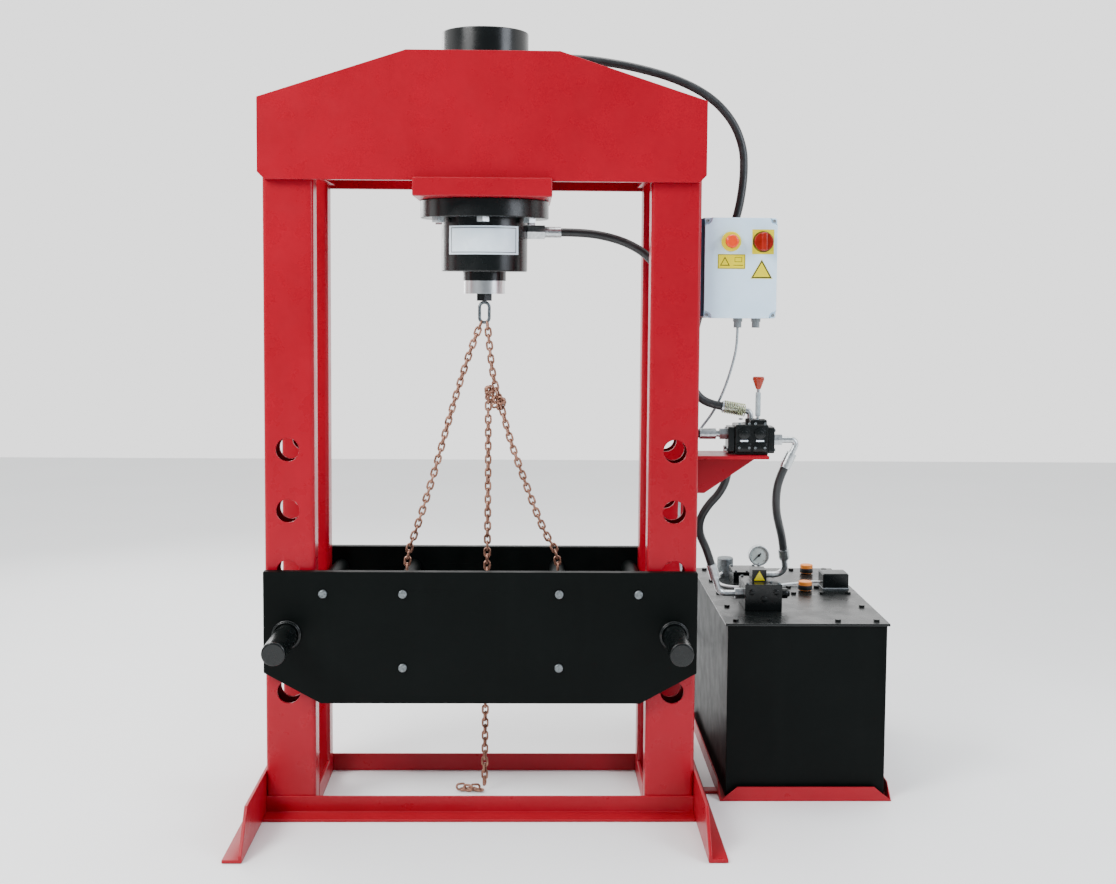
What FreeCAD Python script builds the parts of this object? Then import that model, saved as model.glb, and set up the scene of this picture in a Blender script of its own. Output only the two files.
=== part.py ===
# Hydraulic shop press: an H-frame with a double-acting ram, a bed that hangs on two pins,
# a hand valve, a control box and a floor-standing power unit.
# Millimetres, +Z up. The origin is on the floor under the ram axis; the operator stands at -Y.
import FreeCAD, Part
import math
import os

V = FreeCAD.Vector
X, Y, Z = V(1, 0, 0), V(0, 1, 0), V(0, 0, 1)

# ---- frame ----
clear_width = 1000.0       # between the left and right columns
column_face = 150.0        # width of a column member
column_leg = 80.0          # depth of one column member
frame_depth = 380.0        # over the front and rear members
column_wall = 8.0
column_corner = 12.0
column_top_gap = 30.0      # column tops below the crosshead plates' end corners
first_hole_z = 376.0       # lowest bed pin hole
hole_pitch = 184.0
hole_count = 5
pin_hole = 70.0
hole_inset = 80.0          # hole centre from the column's inner edge
angle_wall = 8.0           # base angles
angle_height = 56.0
angle_toe = 62.0
rail_wall = 10.0           # foot rails
rail_height = 130.0
rail_toe = 56.0
rail_half_length = 562.0
rail_flat_half = 470.0     # the web is full height between these
rail_tip_height = 20.0

# ---- crosshead ----
crosshead_z = 1912.0       # its lower edge
crosshead_side = 238.0     # height at the ends
crosshead_rise = 378.0     # height over the flat middle
crosshead_flat_half = 225.0
crosshead_overhang = 10.0
crosshead_plate = 25.0
corner_cut = 21.0
mount_plate_half = 205.0
mount_plate_thick = 56.0
mount_plate_drop = 47.0    # how far it hangs below the crosshead
mount_plate_proud = 25.0   # beyond the crosshead plates, front and rear
rib_thick = 16.0

# ---- cylinder and ram ----
barrel_outer = 265.0
barrel_bore = 200.0
barrel_drop = 217.0        # below the mount plate
barrel_above = 85.0        # over the crosshead's top edge
barrel_cap = 40.0
flange_thick = 55.0
flange_bolt = 24.0
flange_bolt_in = 27.5      # barrel wall to the bolt circle
flange_edge = 38.0         # bolt circle to the flange's rim
gland_lip = 3.0            # collar's wall round the rod
gland_collar_height = 28.0
gland_depth = 80.0
rod_diameter = 128.0
rod_out = 40.0             # rod end below the gland at rest
piston_thick = 100.0
piston_gap = 5.0           # to the cap at rest
running = 0.05             # radial running clearance
seal_height = 12.0
seal_depth = 8.0
stud_diameter = 46.0
stud_height = 22.0
shackle_wire = 10.0
shackle_width = 40.0
shackle_height = 72.0
rod_port_height = 123.0    # above the barrel's foot
cap_port_below = 73.0      # below the barrel's top
rating_plate_foot = 51.0     # above the barrel's foot
rating_plate_height = 86.0

# ---- bed ----
bed_level = 1              # the hole that the pins are in, counted from the lowest
bed_height = 400.0
bed_above_pin = 190.0
bed_plate = 30.0
bed_clearance = 2.0        # between the bed plates and the columns
bed_cut_x = 170.0          # lower corners
bed_cut_z = 93.0
tie_tube = 50.0
tie_bolt = 16.0
tie_head = 26.0
tie_head_height = 9.0
tie_inner_x = 234.0
tie_outer_gap = 3.0        # outer tie tubes to the columns
tie_top_below = 66.0       # below the bed's top edge
tie_low_below = 290.0
pin_slack = 0.3            # radial, pin in its holes
pin_front = 228.0          # beyond the bed's front face
pin_rear = 18.0
pin_chamfer = 3.0

# ---- lifting chain ----
chain_width = 22.0
chain_gap = 0.3            # to the shackle, the tie tubes and between its own runs
chain_knot = 60.0
chain_knot_x = 32.0
chain_tail_x = 12.0
chain_pile = 116.0         # links that lie on the floor
chain_pile_height = 14.0

# ---- control box ----
box_width = 220.0
box_height = 303.0
box_depth = 120.0
box_cover_depth = 30.0
box_wall = 3.0
box_front_y = -130.0
box_foot_z = 1512.0
box_bracket_width = 17.0
gland_hole = 20.0
label_thick = 1.0
hole_slack = 0.1           # radial, a fixed piece or a spindle in its hole

# ---- hand valve ----
bracket_top = 1091.0
bracket_thick = 10.0
bracket_reach = 226.0
bracket_y0, bracket_y1 = -120.0, 20.0
valve_offset = 104.0       # valve's left end from the column
valve_length = 144.0
valve_height = 108.0
valve_depth = 80.0
valve_cap = 21.0
valve_port_x = 76.0        # top port, from the valve's left end
valve_port_y = 25.0        # and from its middle
spool_diameter = 20.0
spool_travel = 8.0         # to each side
spool_end_gap = 1.0        # left at the end of its travel
spool_groove = 9.0
spool_waist = 13.0
spool_y_offset = -10.0     # spool axis from the valve's middle
spool_height = 49.0        # above the bracket
port_boss = 32.0
lever_x_inset = 50.0       # from the valve's right end
lever_ball = 11.0
lever_slot_gap = 0.5       # ball to the spool's slot
lever_sweep_gap = 2.5      # more room for the leaning rod above the ball
lever_rod = 10.0
lever_rise = 93.0          # above the valve
lever_arm = 30.0           # pivot to the ball's centre
ball_above_axis = 2.0
knob_diameter = 36.0
knob_height = 39.0

# ---- hydraulic lines ----
hose = 26.0
ferrule = 34.0
ferrule_length = 50.0
nut_flats = 32.0
pipe = 20.0
cap_ferrule_x = 91.0       # from the columns
cap_ferrule_rise = 37.0    # above the valve
guard_wire = 3.8
guard_length = 71.0

# ---- power unit ----
tank_offset = 115.0        # tank's left wall from the columns
tank_width = 500.0
tank_length = 850.0
tank_front_y = -70.0
tank_top = 553.0
tank_wall = 4.0
lid_thick = 8.0
lid_overhang = 8.0
tray_floor = 4.0
tray_lip = 45.0
tray_margin = 20.0
lid_bolt = 10.0
lid_bolt_inset = 28.0
neck_bolt_pitch = 98.0     # square pattern round the filler
terminal_length = 80.0
terminal_aside = 9.75      # from midway between two lid bolts
motor_aside = 19.5         # from midway between the front wall and the filler's bolts
motor_outer = 200.0
motor_wall = 14.0
motor_drop = 255.0
rear_block_height = 54.0
gauge_height = 124.0       # dial centre above the lid
filter_base = 62.0
filter_base_height = 30.0
filter_bowl = 58.0
filter_bowl_height = 36.0
gear_teeth = 12
gear_module = 5.0

outer = clear_width / 2 + column_face
column_height = crosshead_z + crosshead_side - column_top_gap
barrel_top = crosshead_z + crosshead_rise + barrel_above
flange_bolt_circle = barrel_outer + 2 * flange_bolt_in
flange_outer = flange_bolt_circle + 2 * flange_edge
gland_collar = rod_diameter + 2 * gland_lip
tie_outer_x = clear_width / 2 - tie_tube / 2 - tie_outer_gap
half_depth = frame_depth / 2
pin_x = clear_width / 2 + hole_inset
pin_z = first_hole_z + hole_pitch * bed_level
bed_top = pin_z + bed_above_pin
bed_bottom = bed_top - bed_height
bed_inner_y = half_depth + bed_clearance
bed_face_y = bed_inner_y + bed_plate
mount_plate_bottom = crosshead_z - mount_plate_drop
mount_plate_top = mount_plate_bottom + mount_plate_thick
barrel_foot = mount_plate_bottom - barrel_drop
rod_foot = barrel_foot - gland_collar_height - rod_out
stud_foot = rod_foot - stud_height
shackle_foot = stud_foot - shackle_height


def block(x0, x1, y0, y1, z0, z1):
    return Part.makeBox(x1 - x0, y1 - y0, z1 - z0, V(x0, y0, z0))


def bar(start, axis, length, diameter):
    return Part.makeCylinder(diameter / 2, length, start, axis)


def ring(start, axis, length, outer_diameter, bore):
    return bar(start, axis, length, outer_diameter).cut(bar(start, axis, length, bore))


def hexagon(start, axis, length, flats):
    side = axis.cross(Z if abs(axis.z) < 0.9 else X).normalize()
    other = V(axis).cross(side)
    radius = flats / math.sqrt(3)
    corners = [start + side * (radius * math.cos(a)) + other * (radius * math.sin(a))
               for a in [math.pi / 3 * i for i in range(7)]]
    return Part.Face(Part.makePolygon(corners)).extrude(V(axis) * length)


def prism(points, direction):
    corners = [V(*p) for p in points]
    return Part.Face(Part.makePolygon(corners + corners[:1])).extrude(direction)


def mirrored(shape):
    return shape.mirror(V(0, 0, 0), X)


def unit(vector):
    return V(vector).normalize()


def swept(name, points, diameter, radius=None):
    # Straight runs joined by tangent arcs. Without a radius each arc takes 0.45 of its shorter run.
    corners = [V(*p) for p in points]
    edges, radii = [], []
    start = corners[0]
    for before, corner, after in zip(corners, corners[1:], corners[2:]):
        into, out = unit(corner - before), unit(after - corner)
        half_turn = into.getAngle(out) / 2
        setback = 0.45 * min((corner - before).Length, (after - corner).Length)
        if radius:
            setback = radius * math.tan(half_turn)
        bend = setback / math.tan(half_turn)
        radii.append(round(bend))
        arc_in, arc_out = corner - into * setback, corner + out * setback
        middle = corner + unit(out - into) * (bend / math.cos(half_turn) - bend)
        edges.append(Part.LineSegment(start, arc_in).toShape())
        edges.append(Part.Arc(arc_in, middle, arc_out).toShape())
        start = arc_out
    edges.append(Part.LineSegment(start, corners[-1]).toShape())
    path = Part.Wire(edges)
    section = Part.Wire(Part.makeCircle(diameter / 2, corners[0], unit(corners[1] - corners[0])))
    tube = path.makePipeShell([section], True, False)
    expected = path.Length * math.pi * diameter ** 2 / 4
    print(f"{name}: length {path.Length:.0f}, radii {radii}, volume ratio {tube.Volume / expected:.4f}")
    return tube


def save(name, *shapes):
    shape = shapes[0] if len(shapes) == 1 else Part.makeCompound(list(shapes))
    shape.exportStep(f"parts/{name}.step")


# ---- columns, base and feet ----
def column(x0, y0):
    tube = block(x0, x0 + column_face, y0, y0 + column_leg, 0, column_height)
    upright = [e for e in tube.Edges if abs(e.tangentAt(e.FirstParameter).z) > 0.9]
    tube = tube.makeFillet(column_corner, upright)
    tube = tube.cut(block(x0 + column_wall, x0 + column_face - column_wall, y0 + column_wall,
                          y0 + column_leg - column_wall, 0, column_height))
    side = 1 if x0 > 0 else -1
    for level in range(hole_count):
        centre = V(side * pin_x, y0, first_hole_z + hole_pitch * level)
        tube = tube.cut(bar(centre, Y, column_leg, pin_hole))
    return tube


def make_frame():
    inner = clear_width / 2
    for row, y0 in (("front", -half_depth), ("rear", half_depth - column_leg)):
        save(row + "_columns", column(-outer, y0), column(inner, y0))

    def angle(face_y, side):
        wall = sorted((face_y, face_y + side * angle_wall))
        toe = sorted((face_y, face_y + side * (angle_wall + angle_toe)))
        leg = block(-outer, outer, *wall, 0, angle_height)
        return leg.fuse(block(-outer, outer, *toe, 0, angle_wall)).removeSplitter()

    gap_y = half_depth - column_leg
    tie = block(inner, inner + rail_wall, -gap_y, gap_y, 0, angle_height + angle_wall / 2)
    save("base_angles", angle(-half_depth, -1), angle(half_depth, 1), tie, mirrored(tie))

    web = prism([(outer, -rail_half_length, 0), (outer, -rail_half_length, rail_tip_height),
                 (outer, -rail_flat_half, rail_height), (outer, rail_flat_half, rail_height),
                 (outer, rail_half_length, rail_tip_height), (outer, rail_half_length, 0)],
                X * rail_wall)
    toe = block(outer, outer + rail_toe, -rail_half_length, rail_half_length, 0, rail_wall)
    rail = web.fuse(toe).removeSplitter()
    save("foot_rails", rail, mirrored(rail))


# ---- crosshead ----
def make_crosshead():
    half = outer + crosshead_overhang
    right = [(mount_plate_half, mount_plate_top), (mount_plate_half, crosshead_z),
             (half - corner_cut, crosshead_z), (half, crosshead_z + corner_cut),
             (half, crosshead_z + crosshead_side),
             (crosshead_flat_half, crosshead_z + crosshead_rise)]
    outline = right + [(-x, z) for x, z in reversed(right)]
    for name, y0 in (("crosshead_front_plate", -half_depth - crosshead_plate),
                     ("crosshead_rear_plate", half_depth)):
        save(name, prism([(x, y0, z) for x, z in outline], Y * crosshead_plate))

    rib_x = mount_plate_half - rib_thick - 7
    rib_top = crosshead_z + crosshead_rise - 60
    inner_rib = block(rib_x, rib_x + rib_thick, -half_depth, half_depth, mount_plate_top, rib_top)
    end_x = clear_width / 2
    end_rib = block(end_x - rib_thick, end_x, -half_depth, half_depth, mount_plate_top, column_height)
    save("crosshead_ribs", inner_rib, mirrored(inner_rib), end_rib, mirrored(end_rib))

    plate_y = half_depth + crosshead_plate + mount_plate_proud
    plate = block(-mount_plate_half, mount_plate_half, -plate_y, plate_y,
                  mount_plate_bottom, mount_plate_top)
    plate = plate.cut(bar(V(0, 0, mount_plate_bottom), Z, mount_plate_thick, barrel_outer))
    for centre in flange_bolt_places(mount_plate_bottom):
        plate = plate.cut(bar(centre, Z, mount_plate_thick, flange_bolt + 2 * hole_slack))
    save("cylinder_mount_plate", plate)


def flange_bolt_places(z):
    radius = flange_bolt_circle / 2
    turns = [math.radians(60 * i - 90) for i in range(6)]
    return [V(radius * math.cos(t), radius * math.sin(t), z) for t in turns]


# ---- cylinder ----
def make_cylinder():
    barrel = bar(V(0, 0, barrel_foot), Z, barrel_top - barrel_foot, barrel_outer)
    bore_length = barrel_top - barrel_cap - barrel_foot
    barrel = barrel.cut(bar(V(0, 0, barrel_foot), Z, bore_length, barrel_bore))
    save("cylinder_barrel", barrel)

    flange_foot = mount_plate_bottom - flange_thick
    flange = ring(V(0, 0, flange_foot), Z, flange_thick, flange_outer, barrel_outer)
    bolts = []
    head = flange_bolt * 0.6
    for centre in flange_bolt_places(flange_foot):
        flange = flange.cut(bar(centre, Z, flange_thick, flange_bolt + 2 * hole_slack))
        shank = bar(centre, Z, flange_thick + mount_plate_thick, flange_bolt)
        bolts.append(hexagon(centre - Z * head, Z, head, flange_bolt * 1.5).fuse(shank))
    save("cylinder_flange", flange)
    save("flange_bolts", *bolts)

    bore = rod_diameter + 2 * running
    gland = bar(V(0, 0, barrel_foot), Z, gland_depth, barrel_bore)
    gland = gland.fuse(bar(V(0, 0, barrel_foot - gland_collar_height), Z, gland_collar_height,
                           gland_collar))
    gland = gland.cut(bar(V(0, 0, barrel_foot - gland_collar_height), Z,
                          gland_collar_height + gland_depth, bore))
    seal_z = barrel_foot + gland_depth / 2
    seal = ring(V(0, 0, seal_z), Z, seal_height, bore + 2 * seal_depth, bore)
    save("cylinder_gland", gland.cut(seal), seal)

    # blank plate, curved round the front of the barrel
    radius = barrel_outer / 2
    sleeve = ring(V(0, 0, barrel_foot + rating_plate_foot), Z, rating_plate_height,
                  barrel_outer + 2 * label_thick, barrel_outer)
    window = block(-radius * 0.79, radius * 0.79, -2 * radius, 0, barrel_foot, mount_plate_bottom)
    save("rating_plate", sleeve.common(window))


# ---- ram: rod, piston, stud and shackle ----
def make_ram():
    piston_top = barrel_top - barrel_cap - piston_gap
    piston_foot = piston_top - piston_thick
    save("ram_rod", bar(V(0, 0, rod_foot), Z, piston_foot - rod_foot, rod_diameter))
    across = barrel_bore - 2 * running
    piston = bar(V(0, 0, piston_foot), Z, piston_thick, across)
    seals = [ring(V(0, 0, piston_foot + z), Z, seal_height, across, across - 2 * seal_depth)
             for z in (piston_thick / 4, piston_thick * 0.75 - seal_height)]
    for seal in seals:
        piston = piston.cut(seal)
    save("ram_piston", piston, *seals)
    save("eye_bolt", hexagon(V(0, 0, stud_foot), Z, stud_height, stud_diameter))

    # elongated ring with a short shank up to the stud
    wire = shackle_wire / 2
    half = shackle_width / 2 - wire
    low, high = shackle_foot + wire + half, stud_foot - wire - half
    loop = Part.Wire([Part.LineSegment(V(-half, 0, high), V(-half, 0, low)).toShape(),
                      Part.Arc(V(-half, 0, low), V(0, 0, low - half), V(half, 0, low)).toShape(),
                      Part.LineSegment(V(half, 0, low), V(half, 0, high)).toShape(),
                      Part.Arc(V(half, 0, high), V(0, 0, high + half), V(-half, 0, high)).toShape()])
    section = Part.Wire(Part.makeCircle(wire, V(-half, 0, high), Z))
    shackle = loop.makePipeShell([section], True, False)
    shank = bar(V(0, 0, high + half), Z, stud_foot - high - half, shackle_wire * 1.4)
    save("chain_shackle", shackle.fuse(shank))


# ---- bed, its tie tubes, bolts and pins ----
def make_bed():
    places = [(side * x, bed_top - drop) for side in (-1, 1)
              for x, drop in ((tie_inner_x, tie_top_below), (tie_outer_x, tie_top_below),
                              (tie_inner_x, tie_low_below))]
    right = [(outer - bed_cut_x, bed_bottom), (outer, bed_bottom + bed_cut_z), (outer, bed_top)]
    outline = right + [(-x, z) for x, z in reversed(right)]
    for name, y0 in (("bed_front_plate", -bed_face_y), ("bed_rear_plate", bed_inner_y)):
        plate = prism([(x, y0, z) for x, z in outline], Y * bed_plate)
        for side in (-1, 1):
            plate = plate.cut(bar(V(side * pin_x, y0, pin_z), Y, bed_plate, pin_hole))
        for x, z in places:
            plate = plate.cut(bar(V(x, y0, z), Y, bed_plate, tie_bolt + 2 * hole_slack))
        save(name, plate)

    tubes, bolts = [], []
    for x, z in places:
        tubes.append(ring(V(x, -bed_inner_y, z), Y, 2 * bed_inner_y, tie_tube,
                          tie_bolt + 2 * hole_slack))
        bolt = bar(V(x, -bed_face_y, z), Y, 2 * bed_face_y, tie_bolt)
        head = bar(V(x, -bed_face_y - tie_head_height, z), Y, tie_head_height, tie_head)
        rim = [e for e in head.Edges if abs(e.BoundBox.YMin + bed_face_y + tie_head_height) < 0.01
               and e.BoundBox.YLength < 0.01]
        head = head.makeFillet(tie_head_height * 0.5, rim)
        nut = hexagon(V(x, bed_face_y, z), Y, tie_bolt * 0.8, tie_bolt * 1.5)
        bolts.append(bolt.fuse([head, nut]))
    save("bed_tie_tubes", *tubes)
    save("bed_bolts", *bolts)

    length = pin_front + 2 * bed_face_y + pin_rear
    for name, side in (("bed_pin_left", -1), ("bed_pin_right", 1)):
        pin = bar(V(side * pin_x, -bed_face_y - pin_front, pin_z), Y, length,
                  pin_hole - 2 * pin_slack)
        pin = pin.makeChamfer(pin_chamfer, [e for e in pin.Edges if e.BoundBox.YLength < 0.01])
        save(name, pin)


# ---- chain: plain tubes along the two legs and the tail ----
def make_chain():
    top = shackle_foot - chain_gap
    foot = bed_top - tie_top_below + tie_tube / 2 + chain_gap
    straight = foot + 2.4 * chain_width

    def leg(start_x, hang, end_x):
        # hang: places between the tie tube (0) and the shackle (1)
        return [(start_x, 0, top)] + [(x, 0, foot + share * (top - foot)) for x, share in hang] + \
               [(end_x, 0, straight), (end_x, 0, foot)]

    left = swept("chain left leg", leg(-12, [
        (-38, 0.918), (-72, 0.782), (-112, 0.607), (-155, 0.399), (-214, 0.156)], -tie_inner_x),
                 chain_width)
    right = swept("chain right leg", leg(12, [
        (17, 0.905), (27, 0.791), (50, 0.692), (77, 0.555), (116, 0.41), (190, 0.157)], tie_inner_x),
                  chain_width)
    knot_z = foot + 0.7137 * (top - foot)
    save("chain_legs", left, right.fuse(Part.makeSphere(chain_knot / 2, V(chain_knot_x, 0, knot_z))))
    # the tail ends under the knot, which bulges over it
    aside = chain_knot_x - chain_tail_x - chain_width / 2
    below = math.sqrt((chain_knot / 2) ** 2 - aside ** 2) if aside > 0 else chain_knot / 2
    above_floor = 0.5
    tail = bar(V(chain_tail_x, 0, above_floor), Z,
               knot_z - chain_knot / 2 - chain_gap - above_floor + (chain_knot / 2 - below), chain_width)
    pile = bar(V(-22, 0, above_floor), Z, chain_pile_height, chain_pile)
    save("chain_tail", tail.fuse(pile))


# ---- control box ----
def make_control_box():
    x0 = outer + box_bracket_width
    x1 = x0 + box_width
    z0, z1 = box_foot_z, box_foot_z + box_height
    split_y = box_front_y + box_cover_depth
    back_y = box_front_y + box_depth
    bracket = block(outer, x0, box_front_y + 5, back_y - 5, z0 + 6, z1 - 4)
    bracket = bracket.cut(block(outer + 4, x0 - 4, box_front_y + 9, back_y - 5, z0 + 6, z1 - 4))
    save("box_bracket", bracket)

    body = block(x0, x1, split_y, back_y, z0, z1)
    body = body.cut(block(x0 + box_wall, x1 - box_wall, split_y, back_y - box_wall,
                          z0 + box_wall, z1 - box_wall))
    gland_y = (split_y + back_y) / 2
    gland_xs = (outer + 131, outer + 187)
    for x in gland_xs:
        body = body.cut(bar(V(x, gland_y, z0), Z, box_wall, gland_hole))
    post = 16.0
    corners = [(x, z) for x in (x0, x1 - post) for z in (z0, z1 - post)]
    for x, z in corners:
        body = body.fuse(block(x, x + post, split_y, back_y - box_wall, z, z + post))
    cover = block(x0, x1, box_front_y, split_y, z0, z1)
    edges = [e for e in cover.Edges if e.BoundBox.YMax < box_front_y + 0.01]
    cover = cover.makeFillet(4, edges)
    cover = cover.cut(block(x0 + post, x1 - post, box_front_y + box_wall, split_y,
                            z0 + post, z1 - post))
    screws = []
    for x, z in corners:
        centre = V(x + post / 2, box_front_y, z + post / 2)
        body = body.cut(bar(V(centre.x, split_y, centre.z), Y, 20, 5 + 2 * hole_slack))
        cover = cover.cut(block(x - 1, x + post + 1, box_front_y - 1, box_front_y + 12,
                                z - 1, z + post + 1))
        cover = cover.cut(bar(centre, Y, box_cover_depth, 5 + 2 * hole_slack))
        head = bar(centre + Y * 8, Y, 4, 10)
        screws.append(head.fuse(bar(centre + Y * 12, Y, box_cover_depth + 6, 5)))
    button_x, switch_x, control_z = x0 + 79, x1 - 44, z0 + 231
    for x in (button_x, switch_x):
        cover = cover.cut(bar(V(x, box_front_y, control_z), Y, box_wall, 16 + 2 * running))
    save("box_body", body.removeSplitter())
    save("box_cover", cover, *screws)

    glands = []
    for x in gland_xs:
        gland = bar(V(x, gland_y, z0), Z, box_wall + 6, gland_hole - 2 * hole_slack)
        gland = gland.fuse([hexagon(V(x, gland_y, z0 - 12), Z, 12, 27),
                            bar(V(x, gland_y, z0 - 30), Z, 18, 24)])
        glands.append(gland.cut(bar(V(x, gland_y, z0 - 30), Z, 30 + box_wall + 6, 8)))
    save("box_glands", *glands)

    collar_front = box_front_y - 12
    save("estop_collar", ring(V(button_x, collar_front, control_z), Y, 12, 60, 16 + 2 * running))
    travel = 6.0
    head = bar(V(button_x, collar_front - travel - 18, control_z), Y, 17, 40)
    crown = [e for e in head.Edges if e.BoundBox.YMax < collar_front - travel - 17.9]
    head = head.makeFillet(7, crown)
    stem = bar(V(button_x, collar_front - travel - 2, control_z), Y, travel + 12 + 30, 16)
    save("estop_button", head.fuse(stem))

    plate_front = box_front_y - label_thick
    handle = bar(V(switch_x, plate_front - 16.3, control_z), Y, 16, 56)
    grip = block(switch_x - 8, switch_x + 8, plate_front - 34, plate_front - 15, control_z - 27,
                 control_z + 27)
    grip = grip.makeFillet(4, [e for e in grip.Edges if e.BoundBox.YMax < plate_front - 33.9
                               or abs(e.tangentAt(e.FirstParameter).y) > 0.9])
    spindle = bar(V(switch_x, plate_front - 1, control_z), Y, 32, 16)
    save("switch_handle", handle.fuse([grip, spindle]))
    plate = block(switch_x - 33, switch_x + 33, plate_front, box_front_y, control_z - 37,
                  control_z + 37)
    plate = plate.cut(bar(V(switch_x, plate_front, control_z), Y, label_thick, 16 + 2 * running))
    strip = block(outer + 57, outer + 140, plate_front, box_front_y, z0 + 149, z0 + 193)
    triangle = prism([(outer + 157, plate_front, z0 + 120), (outer + 223, plate_front, z0 + 120),
                      (outer + 190, plate_front, z0 + 178)], Y * label_thick)
    save("box_labels", plate, strip, triangle)
    return V(gland_xs[0], gland_y, z0 - 30)


# ---- hand valve ----
def make_valve():
    x0 = outer + valve_offset
    x1 = x0 + valve_length
    z0, z1 = bracket_top, bracket_top + valve_height
    mid_y = (bracket_y0 + bracket_y1) / 2
    y0, y1 = mid_y - valve_depth / 2, mid_y + valve_depth / 2
    plate = block(outer, outer + bracket_reach, bracket_y0, bracket_y1, z0 - bracket_thick, z0)
    under = z0 - bracket_thick
    gusset = prism([(outer, mid_y - 5, under), (outer, mid_y - 5, under - 114),
                    (outer + 36, mid_y - 5, under - 114), (outer + 202, mid_y - 5, under)],
                   Y * bracket_thick)
    save("valve_bracket", plate.fuse(gusset).removeSplitter())

    spool_y, spool_z = mid_y + spool_y_offset, z0 + spool_height
    lever_x = x1 - lever_x_inset
    ball_z = spool_z + ball_above_axis
    pivot_z = ball_z + lever_arm
    core = block(x0 + valve_cap, x1 - valve_cap, y0, y1, z0, z1 - 15)
    boss = bar(V(x0 + valve_port_x, mid_y + valve_port_y, z1 - 16), Z, 16, port_boss)
    core = core.fuse([boss, block(lever_x - 26, lever_x + 26, spool_y - 20, spool_y + 20, z1 - 16, z1)])
    bore = spool_diameter + 2 * running
    core = core.cut(bar(V(x0 + valve_cap, spool_y, spool_z), X, valve_length - 2 * valve_cap, bore))
    core = core.cut(block(lever_x - 20, lever_x + 20, spool_y - 7, spool_y + 7, spool_z, z1))
    caps = []
    for cap_x in (x0, x1 - valve_cap):
        cap = block(cap_x, cap_x + valve_cap, y0 + 6, y1 - 6, z0 + 4, z1 - 22)
        cap = cap.makeFillet(8, [e for e in cap.Edges if abs(e.tangentAt(e.FirstParameter).x) > 0.9])
        caps.append(cap)
    save("valve_body", core.removeSplitter(), *caps)

    room = spool_travel + spool_end_gap
    spool_x = x0 + valve_cap + room
    spool = bar(V(spool_x, spool_y, spool_z), X, valve_length - 2 * valve_cap - 2 * room, spool_diameter)
    for groove_x in (spool_x + spool_groove, spool_x + 3 * spool_groove):
        spool = spool.cut(ring(V(groove_x, spool_y, spool_z), X, spool_groove, spool_diameter + 2,
                               spool_waist))
    slot_half = lever_ball / 2 + lever_slot_gap
    wide_half = slot_half + lever_sweep_gap
    across = spool_diameter / 2 + 1
    slot = block(lever_x - slot_half, lever_x + slot_half, spool_y - across, spool_y + across,
                 ball_z - slot_half, ball_z + 2)
    wide = block(lever_x - wide_half, lever_x + wide_half, spool_y - across, spool_y + across,
                 ball_z + 2, spool_z + across)
    save("valve_spool", spool.cut([slot, wide]))

    lever = bar(V(lever_x, spool_y, ball_z), Z, z1 + lever_rise - ball_z, lever_rod)
    ball = Part.makeSphere(lever_ball / 2, V(lever_x, spool_y, ball_z))
    pivot = bar(V(lever_x, spool_y - 6.9, pivot_z), Y, 13.8, 12)
    save("valve_lever", lever.fuse([ball, pivot]))
    knob_foot = z1 + lever_rise
    knob = Part.makeCone(lever_rod / 2 + 2, knob_diameter / 2, knob_height - 9, V(lever_x, spool_y, knob_foot))
    top = bar(V(lever_x, spool_y, knob_foot + knob_height - 9), Z, 9, knob_diameter)
    top = top.makeFillet(4, [e for e in top.Edges if e.BoundBox.ZMin > knob_foot + knob_height - 0.1])
    save("lever_knob", knob.fuse(top))


# ---- fittings, pipes and hoses ----
def run_of(start, direction, nut_length, nut_size=nut_flats):
    # a hexagon nut and then a crimped ferrule; returns the solid and the hose's start
    direction = unit(direction)
    nut = hexagon(start, direction, nut_length, nut_size)
    crimp_start = start + direction * nut_length
    crimp = bar(crimp_start, direction, ferrule_length, ferrule)
    return nut.fuse(crimp), crimp_start + direction * ferrule_length


def crimped(start, direction):
    direction = unit(direction)
    return bar(start, direction, ferrule_length, ferrule), start + direction * ferrule_length


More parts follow.
